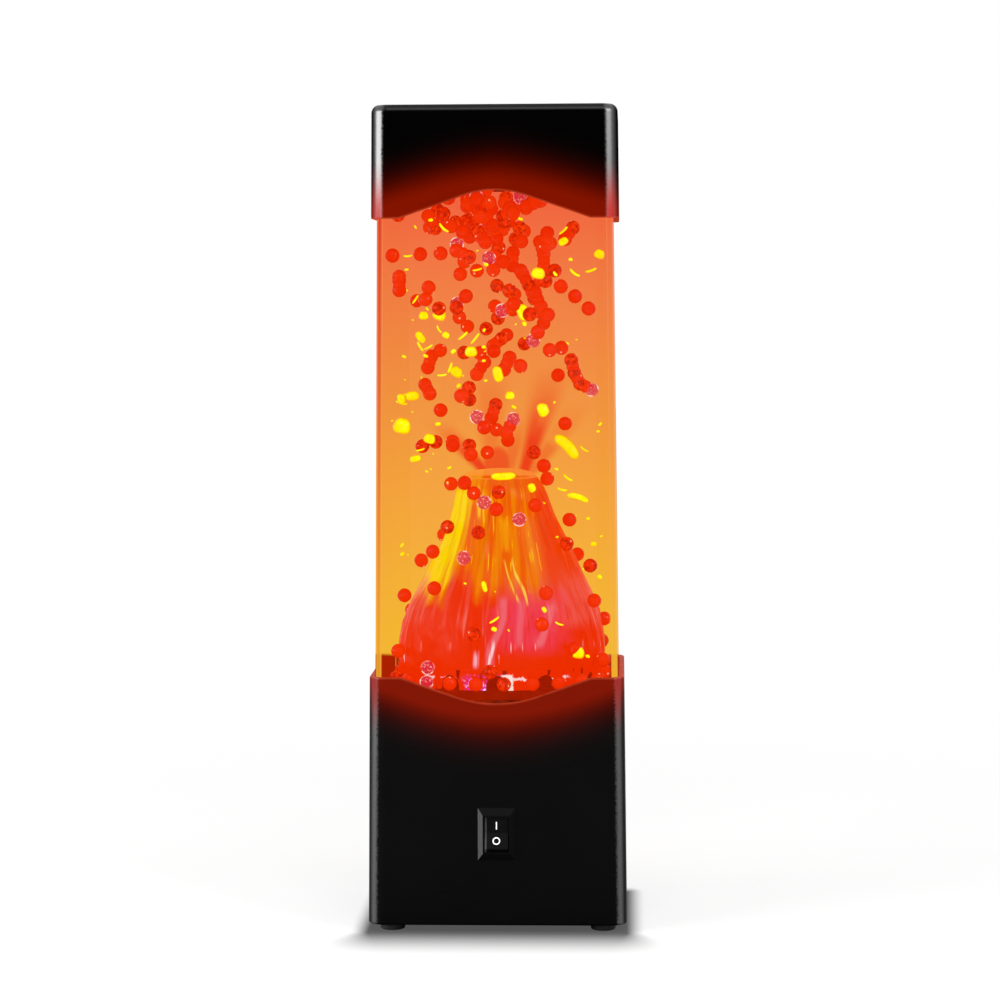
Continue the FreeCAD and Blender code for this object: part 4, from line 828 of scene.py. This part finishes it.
def lava_material():
    """Zones by place and height in mm, painted shade in the hollows by the relief and on the
    outline, painted highlights, streaks by noise.
    """
    material, vector, x, y, z = start("volcano_glow")
    x, y, height = x / mm, y / mm, (z - cone_low.z) / mm
    around = down_the_cone(x, y, height, 0.10 * mm, 0.0)
    shifted = around.add("ShaderNodeVectorMath", {"operation": "ADD"},
                         {0: around, 1: (0.3, 0.2, 0.1)})
    thin = around.noise(1.3 * mm)
    ribbon = shifted.noise(2.6 * mm, 1.0)
    broad = around.noise(5.0 * mm)
    blotch = vector.noise(10 * mm)
    ragged = (broad - 0.5) * 10

    tongue = (x + 15).band(9, 2) * 9
    low = (height - tongue + (blotch - 0.5) * 12 + ragged).step(35, 23)
    body = low.over(lava_upper(x, height, thin, broad, ragged), 235, 45, 0)
    far_out = (abs(x + 1.5) - 24.5 + ragged).step(0, 5)
    far_out = far_out * (1 - x.step(0, -10) * height.step(20, 14))
    hatched = 0.25 + thin.step(0.38, 0.58) * 0.65
    pinks = (far_out * hatched).most(ribbon.step(0.50, 0.64) * 0.5)
    body = (height.step(14, 21) * height.step(42, 32) * pinks).over(body, 236, 84, 66)
    rosy = x.step(-7, 3) * x.step(34, 18) * height.step(4, 12)
    haze = height.step(36, 26) * broad.step(0.26, 0.50) * blotch.step(0.28, 0.48)
    haze = haze * (0.50 + thin.step(0.36, 0.58) * 0.40)
    body = (rosy * haze).over(body, 238, 60, 84)
    # Painted highlights: pale pink runs where wet ridges catch the light.
    pale = ribbon.step(0.63, 0.68) * height.step(7, 10) * height.step(28, 20)
    body = (pale * 0.5).over(body, 242, 124, 108)
    for at_low, at_high, bend_low, bend_high, top, bottom, wide, tint, strength in lava_runs:
        middle = at_low + height.step(bend_low, bend_high) * (at_high - at_low)
        run = (x - middle + (broad - 0.5) * 3).band(wide, wide * 0.2) * y.step(0, -4)
        run = run * height.step(top, top - 4) * height.step(bottom, bottom + 3)
        body = (run * strength * thin.step(0.25, 0.46)).over(body, *tint)
    hot_lines = thin.step(0.40, 0.30) * low * height.step(4, 12)
    body = (hot_lines * 0.45).over(body, 212, 26, 0)
    # Painted highlights: short white glints low on the flank.
    short = around.noise(1.7 * mm, 1.0).step(0.68, 0.74) * height.step(13, 7)
    body = (short * blotch.step(0.35, 0.5)).over(body, 255, 206, 206)
    # Painted shade in the relief's hollows.
    body = (vector.carried("relief").step(-0.35, -0.80) * 0.30).over(body, 206, 34, 0)
    # A painted dark outline where the flank is seen edge on.
    body = (vector.edge_on(0.80, 0.96) * 0.8).over(body, 146, 24, 0)
    return close(material, vector.finish((24, 2, 0), 0.25, 0.03, body))


put_mesh("volcano", cone_points.reshape(-1, 3), cone_quads, np.zeros((0, 3), int),
         lava_material(), "volcano_glow", "volcano_cone", relief=cone_relief)

# %% The foot ring
def foot_material():
    """Red legs between darker gaps of painted shade, with painted highlights: ragged pale lines
    where the wet plastic turns under, a pale spot right of the middle and magenta glints left
    of it. Lengths are in mm."""
    material, vector, x, y, z = start("foot_glow")
    x, y, height = x / mm, y / mm, (z - foot_low.z) / mm
    around = down_the_cone(x, y, height, 0.15 * mm, 0.5)
    speck = vector.noise(1.5 * mm)
    wander = (speck - 0.5) * 2.2
    front = y.step(0, -6)
    # Painted shade: darker gaps between the red legs.
    body = around.noise(4.5 * mm, 1.0).step(0.33, 0.38).blend(
        colour(158, 22, 0), colour(235, 44, 0))
    dip = x.step(10, 13) * x.step(27, 24)
    # Painted highlight: a ragged pale line along the wet plastic.
    first = 1 - abs(height - 4.7 + dip * 1.1 + wander).step(0.30, 0.75)
    patch = around.noise(6.5 * mm, 0.0).step(0.3, 0.4)
    left_span = x.step(-16, -20) * x.step(-30, -26) * patch
    span = (x.step(4, 7) * x.step(30, 26)).most(left_span)
    body = (first * front * span).over(body, 255, 204, 200)
    # A second painted highlight line, pink, lower down.
    second = 1 - abs(height - 1.8 + wander).step(0.25, 0.60)
    short_span = (x - 17).band(6, 3.5).most((x + 8).band(6, 4))
    body = (second * front * short_span * 0.9).over(body, 246, 150, 200)
    # A painted pale highlight spot with a short tail below it.
    glint_spot = (abs(x - 3.8) + wander).step(2.7, 1.8) * (abs(height - 5.0) + wander).step(1.8, 1.0)
    glint_tail = (abs(x - 5.3) + wander).step(1.5, 0.8) * height.step(5.0, 4.4)
    body = (glint_spot.most(glint_tail) * front * 0.95).over(body, 255, 226, 214)
    # Painted magenta and pale glints left of the middle.
    near_middle = (x + 5).band(10, 5) * height.step(7.0, 4.0) * front
    body = (speck.step(0.46, 0.53) * near_middle * 0.9).over(body, 226, 50, 190)
    body = (speck.step(0.60, 0.65) * near_middle).over(body, 255, 214, 240)
    return close(material, vector.finish((24, 2, 0), 0.25, 0.03, body))


dress(foot_material(), "volcano_foot")

# %% [markdown]
# ## Where the beads and flecks are
#
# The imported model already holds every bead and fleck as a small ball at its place, clear of
# the walls and of each other. Each ball is one closed shell in the node's mesh. To find
# its centre, points that share a place are made one, each point takes the lowest number
# among the points its faces join it to, and that is repeated until nothing changes.
# Then every shell has one number, and its box gives the centre and the radius.

# %% Find each ball of a node
def balls_of(name):
    """Centres and radii of the separate closed shells of a CAD node."""
    mesh = nodes[name].data
    co = np.empty(len(mesh.vertices) * 3, np.float32)
    mesh.vertices.foreach_get("co", co)
    co = co.reshape(-1, 3).astype(float)
    corner = np.empty(len(mesh.loops), np.int32)
    mesh.loops.foreach_get("vertex_index", corner)
    rounded = np.round(co / (0.002 * mm)).astype(np.int64)
    places, shared = np.unique(rounded, axis=0, return_inverse=True)
    faces = shared.ravel()[corner].reshape(-1, 3)
    label = np.arange(len(places))
    before = None
    while before is None or not np.array_equal(before, label):
        before = label.copy()
        lowest = label[faces].min(1)
        for k in range(3):
            np.minimum.at(label, faces[:, k], lowest)
        label = label[label]
    names, group = np.unique(label[shared.ravel()], return_inverse=True)
    low = np.full((len(names), 3), np.inf)
    high = -low
    np.minimum.at(low, group, co)
    np.maximum.at(high, group, co)
    return (low + high) / 2, (high - low).max(1) / 2


bead_centres, bead_radii = balls_of("lava_beads")
fleck_centres, fleck_radii = balls_of("lava_flecks")
print(f"{len(bead_radii)} beads of {bead_radii.mean() / mm:.2f} mm, {len(fleck_radii)} flecks")

# %% [markdown]
# ## The beads
#
# They are soft clear balls, stained a hot red. They glow because the light from the deck
# fills them, so each is an even disc of red, with a painted darker rim where it is seen edge
# on. About half have one painted pinpoint highlight at a pole. About one in ten stayed almost
# clear: light runs round it in pale rings, painted as highlight arcs with a painted dark edge.
# The kind of a bead is a number on its points, so all of them are one mesh.
# Above the crater the stream carries them across, and some that meet have a ball between.

# %% A small ball, and where the beads drift
def unit_ball(rows, columns):
    """Points of a ball of radius 1: rings from pole to pole, then the two poles."""
    tilt = (np.arange(1, rows + 1) / (rows + 1) * np.pi)[:, None]
    turn = (np.arange(columns) / columns * 2 * np.pi)[None, :]
    ring = np.stack([np.sin(tilt) * np.cos(turn), np.sin(tilt) * np.sin(turn),
                     np.cos(tilt) + 0 * turn], -1).reshape(-1, 3)
    return np.concatenate([ring, [[0, 0, 1], [0, 0, -1]]])


def bridges(centres, radii, farthest, share):
    """A ball halfway between that share of every two that are nearer than farthest."""
    first, second = np.triu_indices(len(centres), 1)
    apart = np.linalg.norm(centres[first] - centres[second], axis=1)
    joined = (apart < farthest) & (np.random.default_rng(3).random(len(first)) < share)
    first, second = first[joined], second[joined]
    return (centres[first] + centres[second]) / 2, (radii[first] + radii[second]) / 2


drift_levels = np.array([181, 194, 204, 214, 226, 236, 248, 260, 272, 285, 297]) * mm
drift_across = np.array([-2, -9, -9, -2, 3, -2, -12, -12, -8, -3, 0]) * mm
drift_spread = np.array([1, 1.2, 1.2, 1.15, 1.1, 1.2, 1.3, 1.2, 1.2, 1.05, 1])
free_reach = 41 * mm


def drifted(centres):
    """Beads above the crater, carried across by two curves of height: a shift and a spread."""
    at = np.clip(centres[:, 2], drift_levels[0], drift_levels[-1])
    across = np.clip(centres[:, 0] * eased_curve(drift_levels, drift_spread, at)
                     + eased_curve(drift_levels, drift_across, at), -free_reach, free_reach)
    share = smooth_step((centres[:, 2] - cone_high.z) / (10 * mm))
    moved = centres.copy()
    moved[:, 0] += (across - centres[:, 0]) * share
    return moved

# %% Place and turn every bead
ball_rows, ball_columns = 6, 12
clear_of_swell = 42.5 * mm
bead_growth, bridge_growth = 1.14, 1.04
ball_points = unit_ball(ball_rows, ball_columns)
rng = np.random.default_rng(12)
beside_cone = np.clip(bead_centres[:, 2] - cone_low.z, 0, cone_height)
rightward = bead_centres[:, 0] / np.hypot(bead_centres[:, 0], bead_centres[:, 1] * 1.3)
bead_centres[:, 0] = np.minimum(bead_centres[:, 0] + right_swell(beside_cone, rightward),
                                np.maximum(bead_centres[:, 0], clear_of_swell))
bead_centres = drifted(bead_centres)
afloat = bead_centres[:, 2] > cone_high.z + 3 * mm
bridge_centres, bridge_radii = bridges(bead_centres[afloat], bead_radii[afloat], 6.4 * mm, 0.5)
bead_centres = np.concatenate([bead_centres, bridge_centres])
bead_radii = np.concatenate([bead_radii * bead_growth, bridge_radii * bridge_growth])
bead_count = len(bead_radii)
bead_turn = np.linalg.qr(rng.normal(size=(bead_count, 3, 3)))[0]
bead_turn *= np.sign(np.linalg.det(bead_turn))[:, None, None]
bead_points = (bead_centres[:, None] + bead_radii[:, None, None]
               * np.einsum("pi,nij->npj", ball_points, bead_turn)).reshape(-1, 3)
bead_quads, bead_fans = repeated(bead_count, len(ball_points),
                                 grid_quads(ball_rows, ball_columns)[:, ::-1],
                                 end_fans(ball_rows, ball_columns)[:, ::-1])
kinds = rng.random(bead_count)
kinds[bead_count - len(bridge_radii):] = 1.0
tones = rng.random(bead_count)
# The pole points carry the painted pinpoint highlight.
at_pole = np.arange(len(ball_points)) >= ball_rows * ball_columns
print(f"{len(bridge_radii)} of {bead_count} beads lie between two others")

# %% The beads' material
clear_share, speckled_share = 0.10, 0.42


def bead_material():
    """Even red with a painted darker rim where seen edge on and, on about half, a painted pinpoint
    highlight; some beads are mottled with dark and pale specks, and the clear ones have painted
    pale arcs and a painted dark edge.
    """
    material, vector = start("bead_red")[:2]
    kind, tone, bubble = [vector.carried(name) for name in ("kind", "tone", "bubble")]
    rim = vector.edge_on(0.0, 1.0)
    speckled = kind.step(speckled_share + 0.01, speckled_share)
    dark = vector.noise(1.6 * mm, 3.0, 0.7)
    red = tone.blend(colour(232, 40, 0), colour(238, 50, 2))
    # Painted shade: a darker rim where the bead is seen edge on.
    red = (rim.step(0.10, 0.95) * 0.40).over(red, 170, 18, 0)
    red = (dark.step(0.47, 0.60) * speckled * 0.62).over(red, 142, 12, 0)
    red = (dark.step(0.42, 0.34) * speckled * 0.5).over(red, 248, 92, 20)
    # A painted pinpoint highlight at one pole of about half the beads.
    red = (bubble.step(0.62, 0.8) * tone.step(0.5, 0.55)).over(red, 255, 190, 150)
    ball = vector.finish((60, 4, 0), 0.12, 0.05, red)
    swirl = vector.noise(2.4 * mm, 1.0).step(0.50, 0.60)
    # Painted highlight arcs on the clear beads.
    arc = rim.step(0.36, 0.60) * rim.step(1.0, 0.90) * swirl
    grit = vector.noise(0.9 * mm).step(0.56, 0.68)
    pale = grit.blend(colour(210, 26, 50), colour(244, 150, 140))
    # A painted dark edge on the clear beads.
    pale = (rim.step(0.15, 0.75) * 0.5).over(pale, 168, 18, 20)
    glassy = vector.finish((60, 10, 10), 0.06, 0.3, arc.over(pale, 255, 222, 208))
    hollow = veil(0.68 + arc * 0.32, glassy)
    is_red = kind.maths("GREATER_THAN", kind, clear_share)
    return close(material, kind.add("ShaderNodeMixShader", links={0: is_red, 1: hollow, 2: ball}))


put_mesh("beads", bead_points, bead_quads, bead_fans, bead_material(), "bead_red", "lava_beads",
         kind=np.repeat(kinds, len(ball_points)), tone=np.repeat(tones, len(ball_points)),
         bubble=np.tile(at_pole, bead_count))

# %% [markdown]
# ## The flecks
#
# Between the beads drift bright yellow flecks of a set paste. They aren't balls: the large ones
# are rounded drops or bent sausages, and each has shed a few crumbs and thin slivers
# that drift beside it. All of them are one shape, a tube whose radius stays nearly full
# and closes at the ends, carried along an arc. Only its length, thickness, bend and
# direction change.

# %% Bent drops
fleck_rows, fleck_columns = 9, 10
free_low = np.array([-42.0, -32.0, 110.0]) * mm
free_high = np.array([42.0, 30.0, 294.0]) * mm


def bent_drop(centre, half_length, slim, bend, yaw, pitch):
    """Points of one drop: along an arc of that half length, with a radius of the half length
    times slim times (1 - t^4)^0.5 at the share t of the way to an end, then its two ends."""
    along = -np.cos(np.linspace(0, np.pi, fleck_rows + 2))[1:-1, None]
    turn = (np.arange(fleck_columns) / fleck_columns * 2 * np.pi)[None, :]
    thick = half_length * slim * (1 - along ** 4) ** 0.5
    lean = along * bend
    lie_x = half_length * np.sin(lean) / bend
    lie_z = half_length * (1 - np.cos(lean)) / bend
    points = np.stack([lie_x - thick * np.sin(lean) * np.cos(turn), thick * np.sin(turn),
                       lie_z + thick * np.cos(lean) * np.cos(turn)], -1).reshape(-1, 3)
    ends = np.array([[side * math.sin(bend) / bend * half_length, 0,
                      (1 - math.cos(bend)) / bend * half_length] for side in (-1, 1)])
    cy, sy, cp, sp = math.cos(yaw), math.sin(yaw), math.cos(pitch), math.sin(pitch)
    roll = np.array([[cy * cp, -sy, cy * sp], [sy * cp, cy, sy * sp], [-sp, 0, cp]])
    return centre + np.concatenate([points, ends]) @ roll.T


def in_the_water(centres):
    """Moves points off the walls and out of the volcano."""
    centres = np.clip(centres, free_low, free_high)
    half_x, half_y = cone_half(np.clip(centres[:, 2] - cone_low.z, 0, cone_height))
    share = np.hypot(centres[:, 0] / half_x, centres[:, 1] / half_y)
    beside = (centres[:, 2] < cone_high.z + 2 * mm) & (share < 1.12)
    centres[:, :2] *= np.where(beside, 1.14 / np.maximum(share, 0.05), 1)[:, None]
    return np.clip(centres, free_low, free_high)

# %% Large flecks, crumbs and slivers
# x, z and half length in mm, thickness as a share of that, bend and pitch in radians
fleck_spots = (
    (-38.0, 202.4, 3.5, 0.95, 0.3, 0.2), (27.5, 191.7, 6.9, 0.36, -0.45, 0.76),
    (0.0, 222.7, 3.3, 0.62, 0.2, 1.3), (18.8, 208.8, 2.8, 0.85, 0.3, 1.2),
    (-37.5, 212.8, 2.9, 0.70, 0.2, -0.1), (-42.0, 211.6, 2.2, 0.80, 0.2, 1.4),
    (-24.2, 246.9, 2.7, 0.93, 0.3, 0.4), (10.6, 247.7, 3.4, 0.72, 0.2, 1.2),
    (-33.5, 237.4, 2.7, 0.60, 0.2, 0.9), (-31.4, 234.0, 2.3, 0.22, 0.2, 1.0),
    (-9.8, 232.2, 2.4, 0.90, 0.3, 0.0), (-20.0, 238.8, 1.5, 0.90, 0.3, 0.5),
    (-19.2, 222.7, 2.7, 0.85, 0.4, 0.6), (-19.0, 225.5, 2.2, 0.25, 0.2, -1.2),
    (5.3, 214.4, 1.9, 0.90, 0.3, 0.0), (-28.6, 196.1, 2.4, 0.85, 0.3, 0.3),
    (-33.1, 188.9, 2.3, 0.60, 0.3, -0.2), (32.7, 173.8, 4.6, 0.28, -0.4, 0.3),
    (13.7, 176.6, 1.9, 0.85, 0.2, 1.2), (26.4, 276.5, 2.1, 0.75, 0.3, -0.5),
    (17.1, 263.2, 2.7, 0.85, 0.3, 0.2), (41.0, 271.6, 2.2, 0.90, 0.3, 0.4),
    (-32.2, 246.4, 2.0, 0.90, 0.3, 0.0), (30.5, 110.9, 2.5, 0.95, 0.2, 0.0),
    (30.8, 105.4, 1.8, 0.90, 0.2, 0.0), (-5.0, 137.8, 2.3, 0.45, 0.2, 1.3),
    (18.2, 128.5, 1.3, 0.70, 0.2, 1.0), (-1.0, 121.0, 1.2, 0.80, 0.2, 0.3),
    (38.5, 152.0, 1.3, 0.80, 0.2, 0.0), (41.0, 139.0, 1.1, 0.80, 0.2, 0.6),
)
fleck_rng = np.random.default_rng(4)
by_size = np.argsort(-fleck_radii)
shapes = {}
for index, (x, z, *shape) in zip(by_size, fleck_spots):
    x, z, shapes[index] = x * mm, z * mm, shape
    half_x, half_y = cone_half(np.clip(z - cone_low.z, 0, cone_height))
    front = -half_y * math.sqrt(max(1 - (x / half_x) ** 2, 0)) - 3 * mm
    beside = z < cone_high.z + 2 * mm and abs(x) < half_x
    fleck_centres[index] = x, front if beside else fleck_centres[index, 1], z
fleck_centres = in_the_water(fleck_centres)
fleck_draws = fleck_rng.random((len(fleck_radii), 4))
drops = []
for index, (centre, radius, draw) in enumerate(zip(fleck_centres, fleck_radii, fleck_draws)):
    own = (radius / mm * 1.2, 0.9 - 0.4 * draw[0], 0.3 + draw[1] * 0.3, (draw[3] - 0.5) * 2.2)
    half_length, slim, bend, pitch = shapes.get(index, own)
    drops.append(bent_drop(centre, half_length * mm, slim, bend, (draw[2] - 0.5) * 0.6, pitch))
crumb_homes = np.repeat(fleck_centres, np.where(fleck_centres[:, 0] < 0, 2, 1), axis=0)
crumb_draws = fleck_rng.random((len(crumb_homes), 6))
crumb_turns = crumb_draws[:, 0] * 2 * np.pi
crumb_reach = (3.2 + 5 * crumb_draws[:, 1]) * mm
crumb_centres = in_the_water(crumb_homes + np.stack([
    np.cos(crumb_turns) * crumb_reach, (crumb_draws[:, 2] - 0.5) * 12 * mm,
    np.sin(crumb_turns) * crumb_reach], -1))
for centre, draw in zip(crumb_centres, crumb_draws):
    half_length, slim = (0.45 + 0.8 * draw[4] ** 2) * mm, 0.8 - 0.3 * draw[5]
    if draw[3] > 0.74:
        half_length, slim = (1.9 + draw[4]) * mm, 0.20
    drops.append(bent_drop(centre, half_length, slim, 0.1 + 0.4 * draw[5],
                           (draw[2] - 0.5) * 1.2, (draw[5] - 0.5) * 2.0))
lip_drop = np.array([2.2 * mm, -cone_half(cone_height)[1] + 0.4 * mm, cone_high.z + 0.3 * mm])
drops.append(bent_drop(lip_drop, 5.0 * mm, 0.32, 0.12, 0.0, -0.04))
fleck_quads, fleck_fans = repeated(len(drops), len(drops[0]),
                                   grid_quads(fleck_rows, fleck_columns),
                                   end_fans(fleck_rows, fleck_columns))
print(f"{len(drops)} drops, crumbs and slivers")

# %% The flecks' material
def fleck_material():
    """Bright yellow heart, more orange towards the back, and a painted darker orange rim where the
    drop is seen edge on.
    """
    material, vector, x, y, z = start("fleck_yellow")
    mottle = vector.noise(2.5 * mm).step(0.3, 0.6)
    heart = mottle.blend(colour(253, 222, 0), colour(255, 246, 0))
    heart = (y.step(14 * mm, 34 * mm) * 0.4).over(heart, 244, 176, 8)
    # A painted darker rim where the drop is seen edge on.
    return close(material, vector.finish((90, 60, 0), 0.15, 0.1,
                                         vector.edge_on(0.15, 0.85).over(heart, 222, 146, 0)))


put_mesh("flecks", np.concatenate(drops), fleck_quads, fleck_fans, fleck_material(),
         "fleck_yellow", "lava_flecks")

# %% [markdown]
# ## The water
#
# The water fills the tank from its floor to just under the roof. Its surface creeps a
# little up the walls. The body is one closed form: rounded rectangles stacked from the
# floor up, drawn in with the draft of the walls, then a top that dips from the wall inwards.
# It stands a hair's breadth clear of the film, so the two faces never lie in one plane. It
# lets the light straight through, and shows the glow at a low angle.

# %% Water body
water_corner = 2.1 * mm
meniscus = 1.4 * mm
film_gap = 0.05 * mm
corner_points = 12
levels = np.linspace(water_low.z, water_high.z, 14)
insets = np.array([0.4, 1.0, 1.8, 3.0, 5.0, 9.0, 16.0, 26.0]) * mm


def rounded_ring(inset, radius, level, height):
    """Points round the rectangle that lies inset within the drafted walls at a level, drawn at
    a height. Its corners are quarter circles."""
    lean = (level - water_low.z) * draft + film_gap + inset + radius
    quarter = np.linspace(0, np.pi / 2, corner_points)
    turn = (quarter + np.arange(4)[:, None] * np.pi / 2).ravel()
    side_x, side_y = np.repeat([[1, -1, -1, 1], [1, 1, -1, -1]], corner_points, axis=1)
    return np.stack([side_x * (water_high.x - lean) + radius * np.cos(turn),
                     side_y * (water_high.y - lean) + radius * np.sin(turn),
                     np.full(len(turn), height)], -1)


rings = [rounded_ring(0, water_corner, level, level) for level in levels]
for inset in insets:
    dip = meniscus * (1 - math.exp(-inset / meniscus))
    radius = max(water_corner - inset, 0.2 * mm)
    rings.append(rounded_ring(inset, radius, water_high.z, water_high.z - dip))
poles = [[[0, 0, water_low.z], [0, 0, water_high.z - meniscus]]]
water_shape = len(rings), 4 * corner_points


def water_material():
    """Clear head on, the film's glow at a low angle, painted dark red low down where the base
    hides the glow, and a glossy top under the cap.
    """
    material, vector, x, y, z = start("tank_water")
    lean = (z - water_low.z) * draft
    side = (water_high.x - lean - abs(x)).step(1.2 * mm, 0.3 * mm) * 0.14
    over_rim = z.step(base_rim, base_rim + 0.6 * mm)
    back = (water_high.y - lean - y).step(3.2 * mm, 2.4 * mm) * over_rim
    beside_film = abs(x).step(film_high.x - 1.5 * mm, film_high.x - 0.8 * mm)
    top = z.step(water_high.z - 2.0 * mm, water_high.z - 1.6 * mm)
    # Painted shade: dark red low down, where the base hides the glow.
    glow = foot_shadow(y, z).over(glow_by_height(z), 170, 32, 0)
    skin = vector.finish((14, 6, 2), 0.2, 0.0, glow, Coat_Weight=top, Coat_Roughness=0.03)
    share = vector.edge_on().most(side).most(back * beside_film).most(top * 0.25)
    return close(material, veil(share, skin))


put_mesh("water", np.concatenate(rings + poles), grid_quads(*water_shape),
         end_fans(*water_shape), water_material(), "water", "tank_water")

# %% [markdown]
# ## Studio
#
# The lamp stands on a pale floor in an even white room. Three soft lamps light it: a large
# box on each side, which draws a bright line down the rounded corner of the black
# plastic, and a broad panel above and in front. The room is white to the camera, and to
# what mirrors or lets it through, and dimmer as a light, so the black stays black.

# %% The floor
floor_radius, floor_columns = 6.0, 96
ring_turn = np.arange(floor_columns) / floor_columns * 2 * np.pi
floor_ring = floor_radius * np.stack([np.cos(ring_turn), np.sin(ring_turn), 0 * ring_turn], -1)
floor_mesh = bpy.data.meshes.new("floor")
floor_mesh.from_pydata(floor_ring.tolist(), [], [list(range(floor_columns))])


def floor_material():
    """Pale and matt round the lamp, and for the camera ever more like the white room beyond.
    The feet keep light out from under the base: it darkens by the distance from its sides,
    which counts for more across than in front."""
    material, vector, x, y, z = start("studio_floor")
    seen = vector.add("ShaderNodeLightPath", out="Is Camera Ray")
    lift = seen * (0.70 + ((x * x + y * y) ** 0.5).step(0.16, 0.60) * 0.30)
    before = (y * -1.0 - base_high.y).most(0.0)
    beside = (abs(x) + before * 0.30 - base_high.x).most(0.0) / (before / (8 * mm) + 1) * 6
    along = before.most((y - base_high.y).most(0.0) * 4)
    open_share = ((beside * beside + along * along) ** 0.5).step(-13 * mm, 48 * mm)
    shade = colour(20, 20, 20)
    pale = vector.noise(0.4).blend(colour(240, 240, 240), colour(246, 246, 246))
    matt = lift.add("ShaderNodeBsdfDiffuse", links={"Color": open_share.blend(shade, pale)})
    light = lift.add("ShaderNodeEmission", links={
        "Color": open_share.blend(shade, colour(255, 255, 255)), "Strength": 1.0})
    return close(material, lift.add("ShaderNodeMixShader", links={0: lift, 1: matt, 2: light}))


floor_mesh.materials.append(floor_material())
floor = bpy.data.objects.new("floor", floor_mesh)
scene.collection.objects.link(floor)
print(f"floor {2 * floor_radius:.0f} m across")

# %% The room
room_light = 0.42
world = bpy.data.worlds.new("room")
world.use_nodes = True
world.node_tree.nodes.clear()
scene.world = world
sky = Wire(world.node_tree)
seen, mirrored, let_through = [sky.add("ShaderNodeLightPath", out=name) for name in
                               ("Is Camera Ray", "Is Glossy Ray", "Is Transmission Ray")]
strength = room_light + seen.most(mirrored).most(let_through) * (1 - room_light)
room = sky.add("ShaderNodeBackground", links={"Color": (1, 1, 1, 1), "Strength": strength})
room_out = world.node_tree.nodes.new("ShaderNodeOutputWorld")
world.node_tree.links.new(room.socket, room_out.inputs["Surface"])

# %% Lamps
def panel(name, where, towards, width, height, power):
    """A soft rectangular lamp that faces a point."""
    data = bpy.data.lights.new(name, "AREA")
    data.shape = "RECTANGLE"
    data.size, data.size_y, data.energy = width, height, power
    lamp = bpy.data.objects.new(name, data)
    scene.collection.objects.link(lamp)
    lamp.location = where
    way = np.array(towards) - np.array(where)
    yaw = math.atan2(way[1], way[0]) - math.pi / 2
    pitch = math.atan2(way[2], math.hypot(way[0], way[1])) + math.pi / 2
    lamp.rotation_euler = (pitch, 0, yaw)
    print(f"{name}: {power} W")


panel("left_box", (-1.04, -0.52, 0.46), (0, 0, 0.25), 0.95, 0.56, 18)
panel("right_box", (0.95, -0.66, 0.68), (0, 0, 0.30), 0.80, 0.52, 12)
panel("top_panel", (0.1, -1.1, 1.5), (0, 0, 0.15), 0.9, 0.7, 12)
